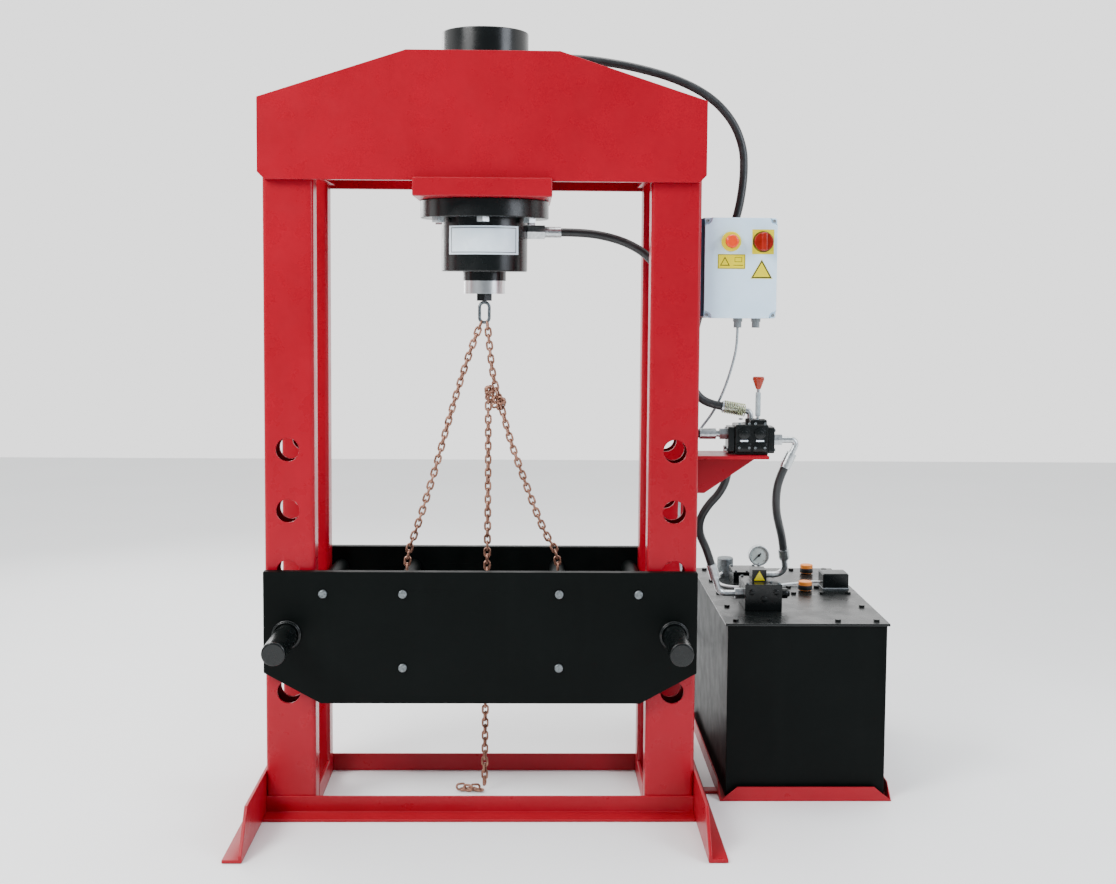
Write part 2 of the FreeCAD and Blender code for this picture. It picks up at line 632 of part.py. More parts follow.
def make_lines():
    radius = barrel_outer / 2
    valve_x0 = outer + valve_offset
    valve_x1 = valve_x0 + valve_length
    mid_y = (bracket_y0 + bracket_y1) / 2
    valve_top = bracket_top + valve_height
    pieces = []

    cap_fitting, cap_start = run_of(V(radius, 0, barrel_top - cap_port_below), X, 42, 38)
    rod_fitting, rod_start = run_of(V(radius, 0, barrel_foot + rod_port_height), X, 54, 42)
    pieces += [cap_fitting.cut(bar(V(0, 0, barrel_top - 120), Z, 100, barrel_outer)),
               rod_fitting.cut(bar(V(0, 0, barrel_foot + 80), Z, 100, barrel_outer))]

    left_z = bracket_top + 61
    left_y = mid_y + 6
    left_nut = hexagon(V(valve_x0 - 22, left_y, left_z), X, 22, nut_flats)
    left_pipe = bar(V(valve_x0 - 34, left_y, left_z), X, 12, pipe)
    rod_end = V(valve_x0 - 34 - ferrule_length, left_y, left_z)
    left_crimp = bar(rod_end, X, ferrule_length, ferrule)
    pieces.append(left_nut.fuse([left_pipe, left_crimp]))

    # cap side: the hose leans in, its ferrule is under a spring guard, and an elbow drops into the
    # valve's top boss
    sleeve_y, drop_x = mid_y + valve_port_y, valve_x0 + valve_port_x
    sleeve = unit(V(0.985, 0, -0.174))
    cap_end = V(outer + cap_ferrule_x, sleeve_y, valve_top + cap_ferrule_rise)
    crimp, pipe_start = crimped(cap_end, sleeve)
    elbow_corner = cap_end + sleeve * ((drop_x - cap_end.x) / sleeve.x)
    elbow = swept("valve top pipe", [tuple(pipe_start), tuple(elbow_corner),
                                     (drop_x, sleeve_y, valve_top)], pipe, 16)
    pieces.append(crimp.fuse(elbow))
    save("hose_spring_guard", ring(cap_end + sleeve * 3, sleeve, guard_length,
                                   ferrule + 2 * guard_wire + 2 * hole_slack, ferrule + 2 * hole_slack))

    # pressure side: nut, bent pipe and ferrule at the valve's right end
    right_z = bracket_top + 44
    right_nut = hexagon(V(valve_x1, mid_y, right_z), X, 27, nut_flats)
    corner = V(valve_x1 + 78, mid_y, right_z)
    slant = unit(V(-0.42, 0, -0.907))
    pipe_end = corner + slant * 46
    right_pipe = swept("valve right pipe", [(valve_x1 + 27, mid_y, right_z), tuple(corner),
                                            tuple(pipe_end)], pipe, 14)
    right_crimp, pressure_start = crimped(pipe_end, slant)
    pieces.append(right_nut.fuse([right_pipe, right_crimp]))

    # return side: nut, elbow and ferrule behind the valve
    rear_x, rear_y, rear_z = valve_x0 + 20, mid_y + valve_depth / 2, bracket_top + 49
    rear_nut = hexagon(V(rear_x, rear_y, rear_z), Y, 22, nut_flats)
    rear_pipe = swept("valve rear pipe", [(rear_x, rear_y + 22, rear_z), (rear_x, rear_y + 58, rear_z),
                                          (rear_x, rear_y + 58, rear_z - 35)], pipe, 18)
    rear_crimp, return_start = crimped(V(rear_x, rear_y + 58, rear_z - 35), V(0, 0, -1))
    pieces.append(rear_nut.fuse([rear_pipe, rear_crimp]))

    # power unit side
    mx0, mx1, my, _ = manifold_place()
    pressure_end = V(mx1 + 3, 110, 765)
    tank_lean = unit(V(10, 33, -36))
    tank_crimp, pipe_start = crimped(pressure_end, tank_lean)
    tank_pipe = swept("tank pressure pipe", [tuple(pipe_start), (mx1 + 24, 176, 664),
                                             (mx1 - 43, 176, 664)], pipe, 34)
    pieces.append(tank_crimp.fuse(tank_pipe))
    return_end = V(mx0 - 105, my, 703)
    lean = unit(V(0.29, 0, -0.957))
    return_crimp, low_start = crimped(return_end, lean)
    low_corner = low_start + lean * 50
    return_pipe = swept("tank return pipe", [tuple(low_start), tuple(low_corner),
                                             (mx0 - 26, my, low_corner.z)], pipe, 26)
    return_nut = hexagon(V(mx0 - 26, my, low_corner.z), X, 26, nut_flats)
    pieces.append(return_crimp.fuse([return_pipe, return_nut]))
    save("hydraulic_fittings", *pieces)

    save("cap_hose", swept("cap hose", [
        tuple(cap_start), (285, 0, 2302), (355, 6, 2296), (460, 22, 2282), (590, 38, 2251),
        (700, 49, 2199), (772, 54, 2126), (806, 56, 2045), (810, 54, 1975), (804, 50, 1905),
        (790, 45, 1832), (761, 38, 1750), (720, 30, 1665), (688, 24, 1580), (664, 16, 1497),
        (648, 4, 1425), (640, -9, 1365), (643, -20, 1312), (661.6, -25, 1270.6),
        tuple(cap_end - sleeve * 44), tuple(cap_end)], hose))
    save("rod_hose", swept("rod hose", [
        tuple(rod_start), (295, 0, 1771), (365, 0, 1763), (440, 0, 1742), (507, -3, 1703),
        (550, -8, 1643), (566, -14, 1565), (562, -22, 1475), (550, -32, 1385), (539, -41, 1305),
        (534, -44, 1233), (563, left_y, 1182), (615, left_y, left_z), tuple(rod_end)], hose))
    save("pressure_hose", swept("pressure hose", [
        tuple(pressure_start), tuple(pressure_start + slant * 42), (913, -34, 953),
        (922, 0, 895), (939, 36, 847), tuple(pressure_end - tank_lean * 55), tuple(pressure_end)],
        hose))
    save("return_hose", swept("return hose", [
        tuple(return_start), (774, 48, 1006), (750, 57, 951), (714, 74, 908), (691, 94, 859),
        (694, 122, 808), tuple(return_end - lean * 50), tuple(return_end)], hose))


# ---- power unit ----
def manifold_place():
    # left and right faces, port line and top of the front manifold
    left = outer + tank_offset + 78
    return left, left + 120, 150.0, tank_top + lid_thick + 86


def lid_bolt_rows():
    first = tank_front_y + lid_bolt_inset
    return [first + (tank_length - 2 * lid_bolt_inset) * i / 4 for i in range(5)]


def lid_bolt_places():
    x0 = outer + tank_offset
    xs = (x0 + lid_bolt_inset, x0 + 135, x0 + 350, x0 + tank_width - lid_bolt_inset)
    ys = lid_bolt_rows()
    return [(x, y) for y in (ys[0], ys[-1]) for x in xs] + \
           [(x, y) for x in (xs[0], xs[-1]) for y in ys[1:-1]]


def make_power_unit():
    x0, x1 = outer + tank_offset, outer + tank_offset + tank_width
    y0, y1 = tank_front_y, tank_front_y + tank_length
    lid_top = tank_top + lid_thick
    neck_places = {"filler_cap": (x1 - 167, y1 - 380), "breather_cap": (x1 - 105, y1 - 90)}
    neck_bolts = [(neck_places["filler_cap"][0] + dx, neck_places["filler_cap"][1] + dy)
                  for dx in (-neck_bolt_pitch / 2, neck_bolt_pitch / 2)
                  for dy in (-neck_bolt_pitch / 2, neck_bolt_pitch / 2)]

    shell = block(x0, x1, y0, y1, tray_floor, tank_top)
    rim = 45.0
    shell = shell.cut(block(x0 + tank_wall, x1 - tank_wall, y0 + tank_wall, y1 - tank_wall,
                            tray_floor + tank_wall, tank_top - 6))
    shell = shell.cut(block(x0 + rim, x1 - rim, y0 + rim, y1 - rim, tank_top - 6, tank_top))
    lid = block(x0 - lid_overhang, x1 + lid_overhang, y0 - lid_overhang, y1 + lid_overhang,
                tank_top, lid_top)
    lid = lid.makeChamfer(1.5, [e for e in lid.Edges if e.BoundBox.ZMin > lid_top - 0.1])
    bolts = []
    for x, y in lid_bolt_places() + neck_bolts:
        hole = bar(V(x, y, tank_top - 6), Z, 6 + lid_thick, lid_bolt + 2 * hole_slack)
        shell, lid = shell.cut(hole), lid.cut(hole)
        shank = bar(V(x, y, tank_top - 6), Z, 6 + lid_thick, lid_bolt)
        bolts.append(shank.fuse(hexagon(V(x, y, lid_top), Z, 7, 17)))
    neck, neck_height = 36.0, 16.0
    for x, y in neck_places.values():
        lid = lid.fuse(bar(V(x, y, lid_top), Z, neck_height, neck))
        lid = lid.cut(bar(V(x, y, tank_top), Z, lid_thick + neck_height, neck - 8))
    save("lid_bolts", *bolts)
    for name, (x, y) in neck_places.items():
        foot = lid_top + 4
        cap = bar(V(x, y, foot), Z, 30, neck + 10)
        cap = cap.makeFillet(3, [e for e in cap.Edges if e.BoundBox.ZMin > foot + 29.9])
        cap = cap.cut(bar(V(x, y, foot), Z, neck_height - 3.9, neck + 2 * running))
        save(name, cap)

    # cable entry in the rear wall
    gland_x, gland_z = x0 + 135, 400.0
    shell = shell.cut(bar(V(gland_x, y1 - tank_wall, gland_z), Y, tank_wall, gland_hole))
    gland = bar(V(gland_x, y1 - tank_wall - 6, gland_z), Y, tank_wall + 6, gland_hole - 2 * hole_slack)
    gland = gland.fuse([hexagon(V(gland_x, y1, gland_z), Y, 8, 27), bar(V(gland_x, y1 + 8, gland_z), Y, 16, 22)])
    gland = gland.cut(bar(V(gland_x, y1 - tank_wall - 6, gland_z), Y, tank_wall + 30, 8))
    save("tank_shell", shell, gland)
    save("tank_lid", lid)

    # tray with upstanding lips; the front lip has sloping ends, and a tab reaches the foot rail
    m = tray_margin
    lip = 4.0
    tx0, tx1, ty0, ty1 = x0 - m, x1 + m, y0 - m, y1 + m
    tray = block(tx0, tx1, ty0, ty1, 0, tray_floor)
    slope = 55.0
    for y in (ty0, ty1 - lip):
        tray = tray.fuse(prism([(tx0, y, 0), (tx1, y, 0), (tx1 - slope, y, tray_lip),
                                (tx0 + slope, y, tray_lip)], Y * lip))
    for x in (tx0, tx1 - lip):
        tray = tray.fuse(prism([(x, ty0, 0), (x, ty1, 0), (x, ty1 - slope, tray_lip),
                                (x, ty0 + slope, tray_lip)], X * lip))
    tab = block(outer + rail_toe, tx0, -25, 15, 0, 8)
    save("tank_tray", tray.fuse(tab).removeSplitter())

    # manifolds on the lid
    mx0, mx1, my, mz = manifold_place()
    front = block(mx0, mx1, my - 55, my + 85, lid_top, mz)
    front = front.fuse(block(mx1 - 90, mx1 - 43, my - 4, my + 56, mz, mz + 38))
    rear = block(x0 + 92, x0 + 187, y1 - 330, y1 - 210, lid_top, lid_top + rear_block_height)
    gauge_x, gauge_y = x0 + 170, y1 - 380
    post = block(gauge_x - 20, gauge_x + 20, gauge_y - 20, gauge_y + 20, lid_top, lid_top + 69)
    save("manifold_block", front.removeSplitter(), rear, post)

    gauge_z = lid_top + gauge_height
    case = bar(V(gauge_x, gauge_y - 14, gauge_z), Y, 28, 70)
    case = case.makeFillet(2, [e for e in case.Edges if e.BoundBox.YLength < 0.01])
    case = case.cut(bar(V(gauge_x, gauge_y - 14, gauge_z), Y, 8, 62))
    stem = bar(V(gauge_x, gauge_y, lid_top + 69), Z, 30, 14)
    case = case.fuse([stem, hexagon(V(gauge_x, gauge_y, lid_top + 69), Z, 12, 19)])
    case = case.cut(bar(V(gauge_x, gauge_y - 6, gauge_z), Y, 6, 4 + 2 * running))
    save("gauge_case", case)
    needle = prism([(gauge_x - 19, gauge_y - 9, gauge_z - 18), (gauge_x - 18, gauge_y - 9, gauge_z - 19),
                    (gauge_x + 9, gauge_y - 9, gauge_z + 6), (gauge_x + 6, gauge_y - 9, gauge_z + 9)], Y * 1.2)
    hub = bar(V(gauge_x, gauge_y - 10, gauge_z), Y, 3, 9)
    spindle = bar(V(gauge_x, gauge_y - 8, gauge_z), Y, 7, 4)
    save("gauge_needle", needle.fuse([hub, spindle]))

    filter_x, filter_y = x0 + 92, y1 - 120
    base = bar(V(filter_x, filter_y, lid_top), Z, filter_base_height, filter_base)
    bowl_foot = lid_top + filter_base_height
    bowl = bar(V(filter_x, filter_y, bowl_foot), Z, filter_bowl_height, filter_bowl)
    bowl = bowl.makeFillet(6, [e for e in bowl.Edges if e.BoundBox.ZMin > bowl_foot + filter_bowl_height - 0.1])
    save("return_filter", base.fuse(bowl))
    rows = lid_bolt_rows()
    box_y = (rows[2] + rows[3]) / 2 + terminal_aside
    box = block(x1 - 100, x1 - 10, box_y - terminal_length / 2, box_y + terminal_length / 2,
                lid_top, lid_top + 54)
    box = box.makeFillet(5, [e for e in box.Edges if e.BoundBox.ZMin > lid_top + 10])
    save("terminal_box", box)

    # submerged motor and gear pump, hung under the lid
    cx = x0 + tank_width / 2
    cy = (y0 + neck_bolts[0][1]) / 2 + motor_aside
    shaft = 30.0
    top = tank_top
    foot = top - motor_drop
    housing = bar(V(cx, cy, foot), Z, motor_drop, motor_outer)
    housing = housing.cut(bar(V(cx, cy, foot + 20), Z, motor_drop - 50, motor_outer - 2 * motor_wall))
    housing = housing.cut(bar(V(cx, cy, foot), Z, motor_drop - 15, shaft + 2 * running))
    gear_gap = gear_module * gear_teeth
    chamber = (gear_teeth / 2 + 1) * gear_module + 0.6
    pump_z0, pump_z1 = foot - 90, foot
    pump = block(cx - 65, cx + 65, cy - 65, cy + gear_gap + 65, pump_z0, pump_z1)
    for y in (cy, cy + gear_gap):
        pump = pump.cut(bar(V(cx, y, pump_z0 + 25), Z, 40.4, 2 * chamber))
        pump = pump.cut(bar(V(cx, y, pump_z0 + 5), Z, 85, shaft + 2 * running if y == cy else 24.1))
    save("motor_pump_unit", housing, pump)
    rotor = bar(V(cx, cy, pump_z0 + 6), Z, top - 16 - pump_z0 - 6, shaft)
    core = bar(V(cx, cy, foot + 35), Z, motor_drop - 80, motor_outer - 2 * motor_wall - 2)
    save("motor_rotor", rotor.fuse([core, gear(V(cx, cy, pump_z0 + 25.2), 0, 40)]))
    driven = bar(V(cx, cy + gear_gap, pump_z0 + 6), Z, 82, 24)
    save("pump_gear", driven.fuse(gear(V(cx, cy + gear_gap, pump_z0 + 25.2), 0.5, 40)))

    save("lid_cable", swept("lid cable", [
        (filter_x - 15.5, filter_y - 26.9, 574), (829, 611, 574), (816, 571, 567), (811, 520, 567),
        (816, 463, 567), (846, 431, 567), (900, 429, 567), (955, 433, 567), (1000, 447, 567),
        (1045, 475, 567), (1092, 489, 568), (1129, 474, 577), (x1 - 100, 474, 577)], 9.0))
    return V(gland_x, y1 + 24, gland_z)


def gear(centre, shift, height):
    # straight-sided teeth with generous backlash; shift turns it by that many teeth
    pitch = gear_teeth * gear_module / 2
    step = 2 * math.pi / gear_teeth
    corners = []
    for tooth in range(gear_teeth):
        middle = math.pi / 2 + (tooth + shift) * step
        for radius, share in ((pitch - 1.25 * gear_module, -0.36), (pitch + 0.9 * gear_module, -0.11),
                              (pitch + 0.9 * gear_module, 0.11), (pitch - 1.25 * gear_module, 0.36)):
            turn = middle + share * step
            corners.append(centre + V(radius * math.cos(turn), radius * math.sin(turn), 0))
    return Part.Face(Part.makePolygon(corners + corners[:1])).extrude(Z * height)


def make_control_cable(start, end):
    save("control_cable", swept("control cable", [
        tuple(start), (781, -54, 1430), (772, -40, 1375), (757, -24, 1315), (740, -6, 1262),
        (714, 8, 1207), (679, 16, 1160), (648, 22, 1107), (629, 28, 1040), (620, 36, 960),
        (619, 43, 865), (622, 51, 770), (632, 62, 690), (652, 86, 620), (666, 130, 560),
        (669, 195, 500), (673, 280, 440), (683, 380, 385), (698, 490, 345), (716, 605, 325),
        (736, 715, 325), (763, 803, 335), (800, 858, 348), (850, 889, 366), (888, 882, 387),
        (900, 850, 400),
        tuple(end)], 8.0))


os.makedirs("parts", exist_ok=True)
make_frame()
make_crosshead()
make_cylinder()
make_ram()
make_bed()
make_chain()
cable_start = make_control_box()
make_valve()
make_lines()
cable_end = make_power_unit()
make_control_cable(cable_start, cable_end)
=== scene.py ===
import math
import random

import bmesh
import bpy
from mathutils import Euler, Matrix, Vector


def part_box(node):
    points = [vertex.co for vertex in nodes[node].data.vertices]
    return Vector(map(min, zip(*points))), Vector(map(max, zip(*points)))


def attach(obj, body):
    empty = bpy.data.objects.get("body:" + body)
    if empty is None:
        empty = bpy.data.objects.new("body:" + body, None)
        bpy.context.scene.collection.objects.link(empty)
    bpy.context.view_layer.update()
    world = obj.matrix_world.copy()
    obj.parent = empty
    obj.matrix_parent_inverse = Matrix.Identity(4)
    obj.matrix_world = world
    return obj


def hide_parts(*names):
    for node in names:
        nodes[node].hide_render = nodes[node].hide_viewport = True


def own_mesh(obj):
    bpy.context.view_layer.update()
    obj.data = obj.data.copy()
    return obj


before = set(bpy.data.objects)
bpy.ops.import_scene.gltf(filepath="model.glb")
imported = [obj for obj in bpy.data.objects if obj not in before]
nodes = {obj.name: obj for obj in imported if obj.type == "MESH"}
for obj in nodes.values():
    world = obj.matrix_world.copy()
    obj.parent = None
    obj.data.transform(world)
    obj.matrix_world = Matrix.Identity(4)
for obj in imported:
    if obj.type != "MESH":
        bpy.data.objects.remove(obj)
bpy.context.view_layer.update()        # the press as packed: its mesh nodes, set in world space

bpy.ops.object.select_all(action="DESELECT")
random.seed(11)
print("frame loaded:", len(nodes), "nodes")


# small tools

def activate(piece):
    bpy.ops.object.select_all(action="DESELECT")
    piece.select_set(True)
    bpy.context.view_layer.objects.active = piece
    return piece


def settle(piece):
    activate(piece)
    bpy.ops.object.transform_apply(location=True, rotation=True, scale=True)
    return piece


def applyModifiers(piece):
    activate(piece)
    for modifier in list(piece.modifiers):
        bpy.ops.object.modifier_apply(modifier=modifier.name)
    return piece


def joined(pieces):
    bpy.ops.object.select_all(action="DESELECT")
    for piece in pieces:
        piece.select_set(True)
    bpy.context.view_layer.objects.active = pieces[0]
    if len(pieces) > 1:
        bpy.ops.object.join()
    return pieces[0]


def duplicate(piece, matrix):
    copy = piece.copy()
    copy.data = piece.data.copy()
    copy.data.transform(matrix)
    bpy.context.scene.collection.objects.link(copy)
    return copy


def smooth(piece, angle=32):
    activate(piece)
    bpy.ops.object.shade_smooth_by_angle(angle=math.radians(angle))
    return piece


def bevelled(piece, width, segments=2, angle=30, harden=False):
    modifier = piece.modifiers.new("edges", "BEVEL")
    modifier.harden_normals = harden
    modifier.width = width
    modifier.segments = segments
    modifier.limit_method = "ANGLE"
    modifier.angle_limit = math.radians(angle)
    modifier.use_clamp_overlap = False
    return applyModifiers(piece)


def place(piece, name, material, body, instead=()):
    # names a finished piece, dresses it and lets it ride on its body
    piece.name = name
    piece.data.name = name
    piece.data.materials.clear()
    piece.data.materials.append(material)
    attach(piece, body)
    if instead:
        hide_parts(*instead)
    return piece


def chooseFaces(piece, test):
    # goes to edit mode with only the faces that pass the test selected
    activate(piece)
    bpy.ops.object.mode_set(mode="EDIT")
    bpy.ops.mesh.select_mode(type="FACE")
    bpy.ops.mesh.select_all(action="DESELECT")
    mesh = bmesh.from_edit_mesh(piece.data)
    for face in mesh.faces:
        face.select_set(test(face.calc_center_median(), face.normal))
    bmesh.update_edit_mesh(piece.data)


def chooseVerts(piece, test):
    activate(piece)
    bpy.ops.object.mode_set(mode="EDIT")
    bpy.ops.mesh.select_mode(type="VERT")
    bpy.ops.mesh.select_all(action="DESELECT")
    mesh = bmesh.from_edit_mesh(piece.data)
    for vert in mesh.verts:
        vert.select_set(test(vert.co))
    bmesh.update_edit_mesh(piece.data)


def leaveEdit():
    bpy.ops.object.mode_set(mode="OBJECT")


def turnTo(axis):
    return Vector((0, 0, 1)).rotation_difference(Vector(axis)).to_matrix().to_4x4()


def roundBar(centre, axis, radius, length, sides=32, edge=0.0):
    # a round bar with its edges eased; centre is the middle of its length
    bpy.ops.mesh.primitive_cylinder_add(vertices=sides, radius=radius, depth=length)
    bar = bpy.context.object
    if edge:
        bevelled(bar, edge, 2, 50)
    bar.data.transform(Matrix.Translation(Vector(centre)) @ turnTo(axis))
    return smooth(bar)


def slab(low, high, edge=0.0, segments=2):
    low, high = Vector(low), Vector(high)
    bpy.ops.mesh.primitive_cube_add(size=1)
    box = bpy.context.object
    box.data.transform(Matrix.Diagonal((*(high - low), 1)))
    if edge:
        bevelled(box, edge, segments)
    box.data.transform(Matrix.Translation((low + high) / 2))
    return smooth(box)


def ringAt(centre, axis, radius, wire, sides=40):
    bpy.ops.mesh.primitive_torus_add(major_segments=sides, minor_segments=10,
                                     major_radius=radius, minor_radius=wire)
    torus = bpy.context.object
    torus.data.transform(Matrix.Translation(Vector(centre)) @ turnTo(axis))
    return smooth(torus, 60)


def hexHead(centre, axis, flats, height):
    # hexagon with the chamfered crown of a turned bolt head
    bpy.ops.mesh.primitive_cylinder_add(vertices=6, radius=flats / math.sqrt(3), depth=height)
    head = bpy.context.object
    chooseFaces(head, lambda middle, normal: normal.z > 0.9)
    bpy.ops.mesh.inset(thickness=flats * 0.06, depth=0)
    leaveEdit()
    chooseVerts(head, lambda co: co.z > 0 and co.xy.length > flats * 0.55)
    bpy.ops.transform.translate(value=(0, 0, -height * 0.14))
    leaveEdit()
    bevelled(head, flats * 0.012, 1, 20)
    head.data.transform(Matrix.Translation(Vector(centre)) @ turnTo(axis))
    return smooth(head, 25)


def roundedCopy(source, name, material, width, body="frame", segments=2):
    # the CAD shape again, merged, with real rounded edges that catch the light
    piece = nodes[source].copy()
    piece.data = nodes[source].data.copy()
    piece.parent = None
    for key in list(piece.keys()):
        del piece[key]
    bpy.context.scene.collection.objects.link(piece)
    activate(piece)
    bpy.ops.object.mode_set(mode="EDIT")
    bpy.ops.mesh.select_all(action="SELECT")
    bpy.ops.mesh.remove_doubles(threshold=0.00001)
    bpy.ops.mesh.dissolve_limited(angle_limit=math.radians(0.6))
    leaveEdit()
    smooth(piece, 28)
    bevelled(piece, width, segments, 28, harden=True)
    return place(piece, name, material, body, [source])


# materials

def linear(hexColour):
    parts = [int(hexColour[i:i + 2], 16) / 255 for i in (1, 3, 5)]
    return (*[p / 12.92 if p <= 0.04045 else ((p + 0.055) / 1.055) ** 2.4 for p in parts], 1)


def addNode(tree, kind, inputs=None, **settings):
    node = tree.nodes.new(kind)
    for key, value in settings.items():
        setattr(node, key, value)
    for key, value in (inputs or {}).items():
        if isinstance(value, bpy.types.NodeSocket):
            tree.links.new(value, node.inputs[key])
        else:
            node.inputs[key].default_value = value
    return node


def startMaterial(name, **constants):
    material = bpy.data.materials.new(name)
    material.use_nodes = True
    tree = material.node_tree
    shader = tree.nodes["Principled BSDF"]
    for key, value in constants.items():
        shader.inputs[key.replace("_", " ")].default_value = value
    place3d = addNode(tree, "ShaderNodeTexCoord").outputs["Object"]
    return material, tree, shader, place3d


def enamel(name, look):
    # sprayed enamel on steel: tone that drifts a little, faint runs, orange peel, and workshop
    # dust on what faces up or stands near the floor
    speckMm, sheenMm, dustyTo = 14, 60, 0.28    # dust specks, drift of the gloss, height of the floor's dust
    material, tree, shader, coords = startMaterial(name, IOR=1.5)
    shader.inputs["Specular IOR Level"].default_value = look["specular"]
    patches = addNode(tree, "ShaderNodeTexNoise", {"Vector": coords, "Scale": 1000 / look["patchMm"],
                                                   "Detail": 4, "Roughness": 0.6})
    patchy = addNode(tree, "ShaderNodeMapRange", {"Value": patches.outputs["Fac"], "From Min": 0.3,
                                                  "From Max": 0.7})
    paint = addNode(tree, "ShaderNodeMix", {0: patchy.outputs[0], 6: linear(look["deep"]),
                                            7: linear(look["tone"])}, data_type="RGBA")
    stretched = addNode(tree, "ShaderNodeMapping", {"Vector": coords, "Scale": (1, 1, 0.12)})
    runs = addNode(tree, "ShaderNodeTexNoise", {"Vector": stretched.outputs[0], "Detail": 5,
                                                "Scale": 1000 / look["streakMm"], "Roughness": 0.65})
    soiling = addNode(tree, "ShaderNodeMapRange", {"Value": runs.outputs["Fac"], "From Min": 0.52,
                                                   "From Max": 0.75, "To Max": look["grime"]})
    paint = addNode(tree, "ShaderNodeMix", {0: soiling.outputs[0], 6: paint.outputs[2],
                                            7: linear(look["soiled"])}, data_type="RGBA")
    facing = addNode(tree, "ShaderNodeSeparateXYZ",
                     {0: addNode(tree, "ShaderNodeNewGeometry").outputs["Normal"]})
    height = addNode(tree, "ShaderNodeSeparateXYZ", {0: coords})
    upward = addNode(tree, "ShaderNodeMapRange", {"Value": facing.outputs["Z"], "From Min": 0.75,
                                                  "From Max": 1.0, "To Max": look["dust"]})
    lowDown = addNode(tree, "ShaderNodeMapRange", {"Value": height.outputs["Z"], "From Min": 0.0,
                                                   "From Max": dustyTo, "To Min": look["dust"] * 0.8,
                                                   "To Max": 0.0})
    either = addNode(tree, "ShaderNodeMath", {0: upward.outputs[0], 1: lowDown.outputs[0]},
                     operation="MAXIMUM")
    specks = addNode(tree, "ShaderNodeTexNoise", {"Vector": coords, "Scale": 1000 / speckMm, "Detail": 6,
                                                  "Roughness": 0.7})
    uneven = addNode(tree, "ShaderNodeMapRange", {"Value": specks.outputs["Fac"], "From Min": 0.3,
                                                  "From Max": 0.7, "To Min": 0.25})
    dust = addNode(tree, "ShaderNodeMath", {0: either.outputs[0], 1: uneven.outputs[0]},
                   operation="MULTIPLY")
    dusted = addNode(tree, "ShaderNodeMix", {0: dust.outputs[0], 6: paint.outputs[2],
                                             7: linear(look["dustTone"])}, data_type="RGBA")
    tree.links.new(dusted.outputs[2], shader.inputs["Base Color"])
    sheen = addNode(tree, "ShaderNodeTexNoise", {"Vector": coords, "Scale": 1000 / sheenMm, "Detail": 4,
                                                 "Roughness": 0.6})
    gloss = addNode(tree, "ShaderNodeMapRange", {"Value": sheen.outputs["Fac"], "From Min": 0.3,
                                                 "From Max": 0.7, "To Min": look["rough"][0],
                                                 "To Max": look["rough"][1]})
    rough = addNode(tree, "ShaderNodeMath", {0: gloss.outputs[0], 1: dust.outputs[0]}, operation="ADD")
    tree.links.new(rough.outputs[0], shader.inputs["Roughness"])
    peel = addNode(tree, "ShaderNodeTexNoise", {"Vector": coords, "Scale": 1000 / look["peelMm"],
                                                "Detail": 2, "Roughness": 0.4})
    bump = addNode(tree, "ShaderNodeBump", {"Height": peel.outputs["Fac"], "Strength": look["peel"],
                                            "Distance": 0.0005})
    tree.links.new(bump.outputs["Normal"], shader.inputs["Normal"])
    return material


def metal(name, look):
    # bare or plated metal: fine tool marks along one axis and dull patches between bright ones
    material, tree, shader, coords = startMaterial(name, Metallic=look.get("metallic", 1.0))
    blotches = addNode(tree, "ShaderNodeTexNoise", {"Vector": coords, "Scale": 1000 / look["blotchMm"],
                                                    "Detail": 4, "Roughness": 0.6})
    uneven = addNode(tree, "ShaderNodeMapRange", {"Value": blotches.outputs["Fac"], "From Min": 0.3,
                                                  "From Max": 0.7})
    tone = addNode(tree, "ShaderNodeMix", {0: uneven.outputs[0], 6: linear(look["dark"]),
                                           7: linear(look["light"])}, data_type="RGBA")
    tree.links.new(tone.outputs[2], shader.inputs["Base Color"])
    drawn = addNode(tree, "ShaderNodeMapping", {"Vector": coords, "Scale": look["grain"]})
    marks = addNode(tree, "ShaderNodeTexNoise", {"Vector": drawn.outputs[0], "Detail": 3,
                                                 "Scale": 1000 / look["grainMm"]})
    both = addNode(tree, "ShaderNodeMath", {0: marks.outputs["Fac"], 1: blotches.outputs["Fac"]},
                   operation="ADD")
    rough = addNode(tree, "ShaderNodeMapRange", {"Value": both.outputs[0], "From Min": 0.7, "From Max": 1.3,
                                                 "To Min": look["rough"][0], "To Max": look["rough"][1]})
    tree.links.new(rough.outputs[0], shader.inputs["Roughness"])
    bump = addNode(tree, "ShaderNodeBump", {"Height": marks.outputs["Fac"], "Strength": look["bump"],
                                            "Distance": 0.0002})
    tree.links.new(bump.outputs["Normal"], shader.inputs["Normal"])
    return material


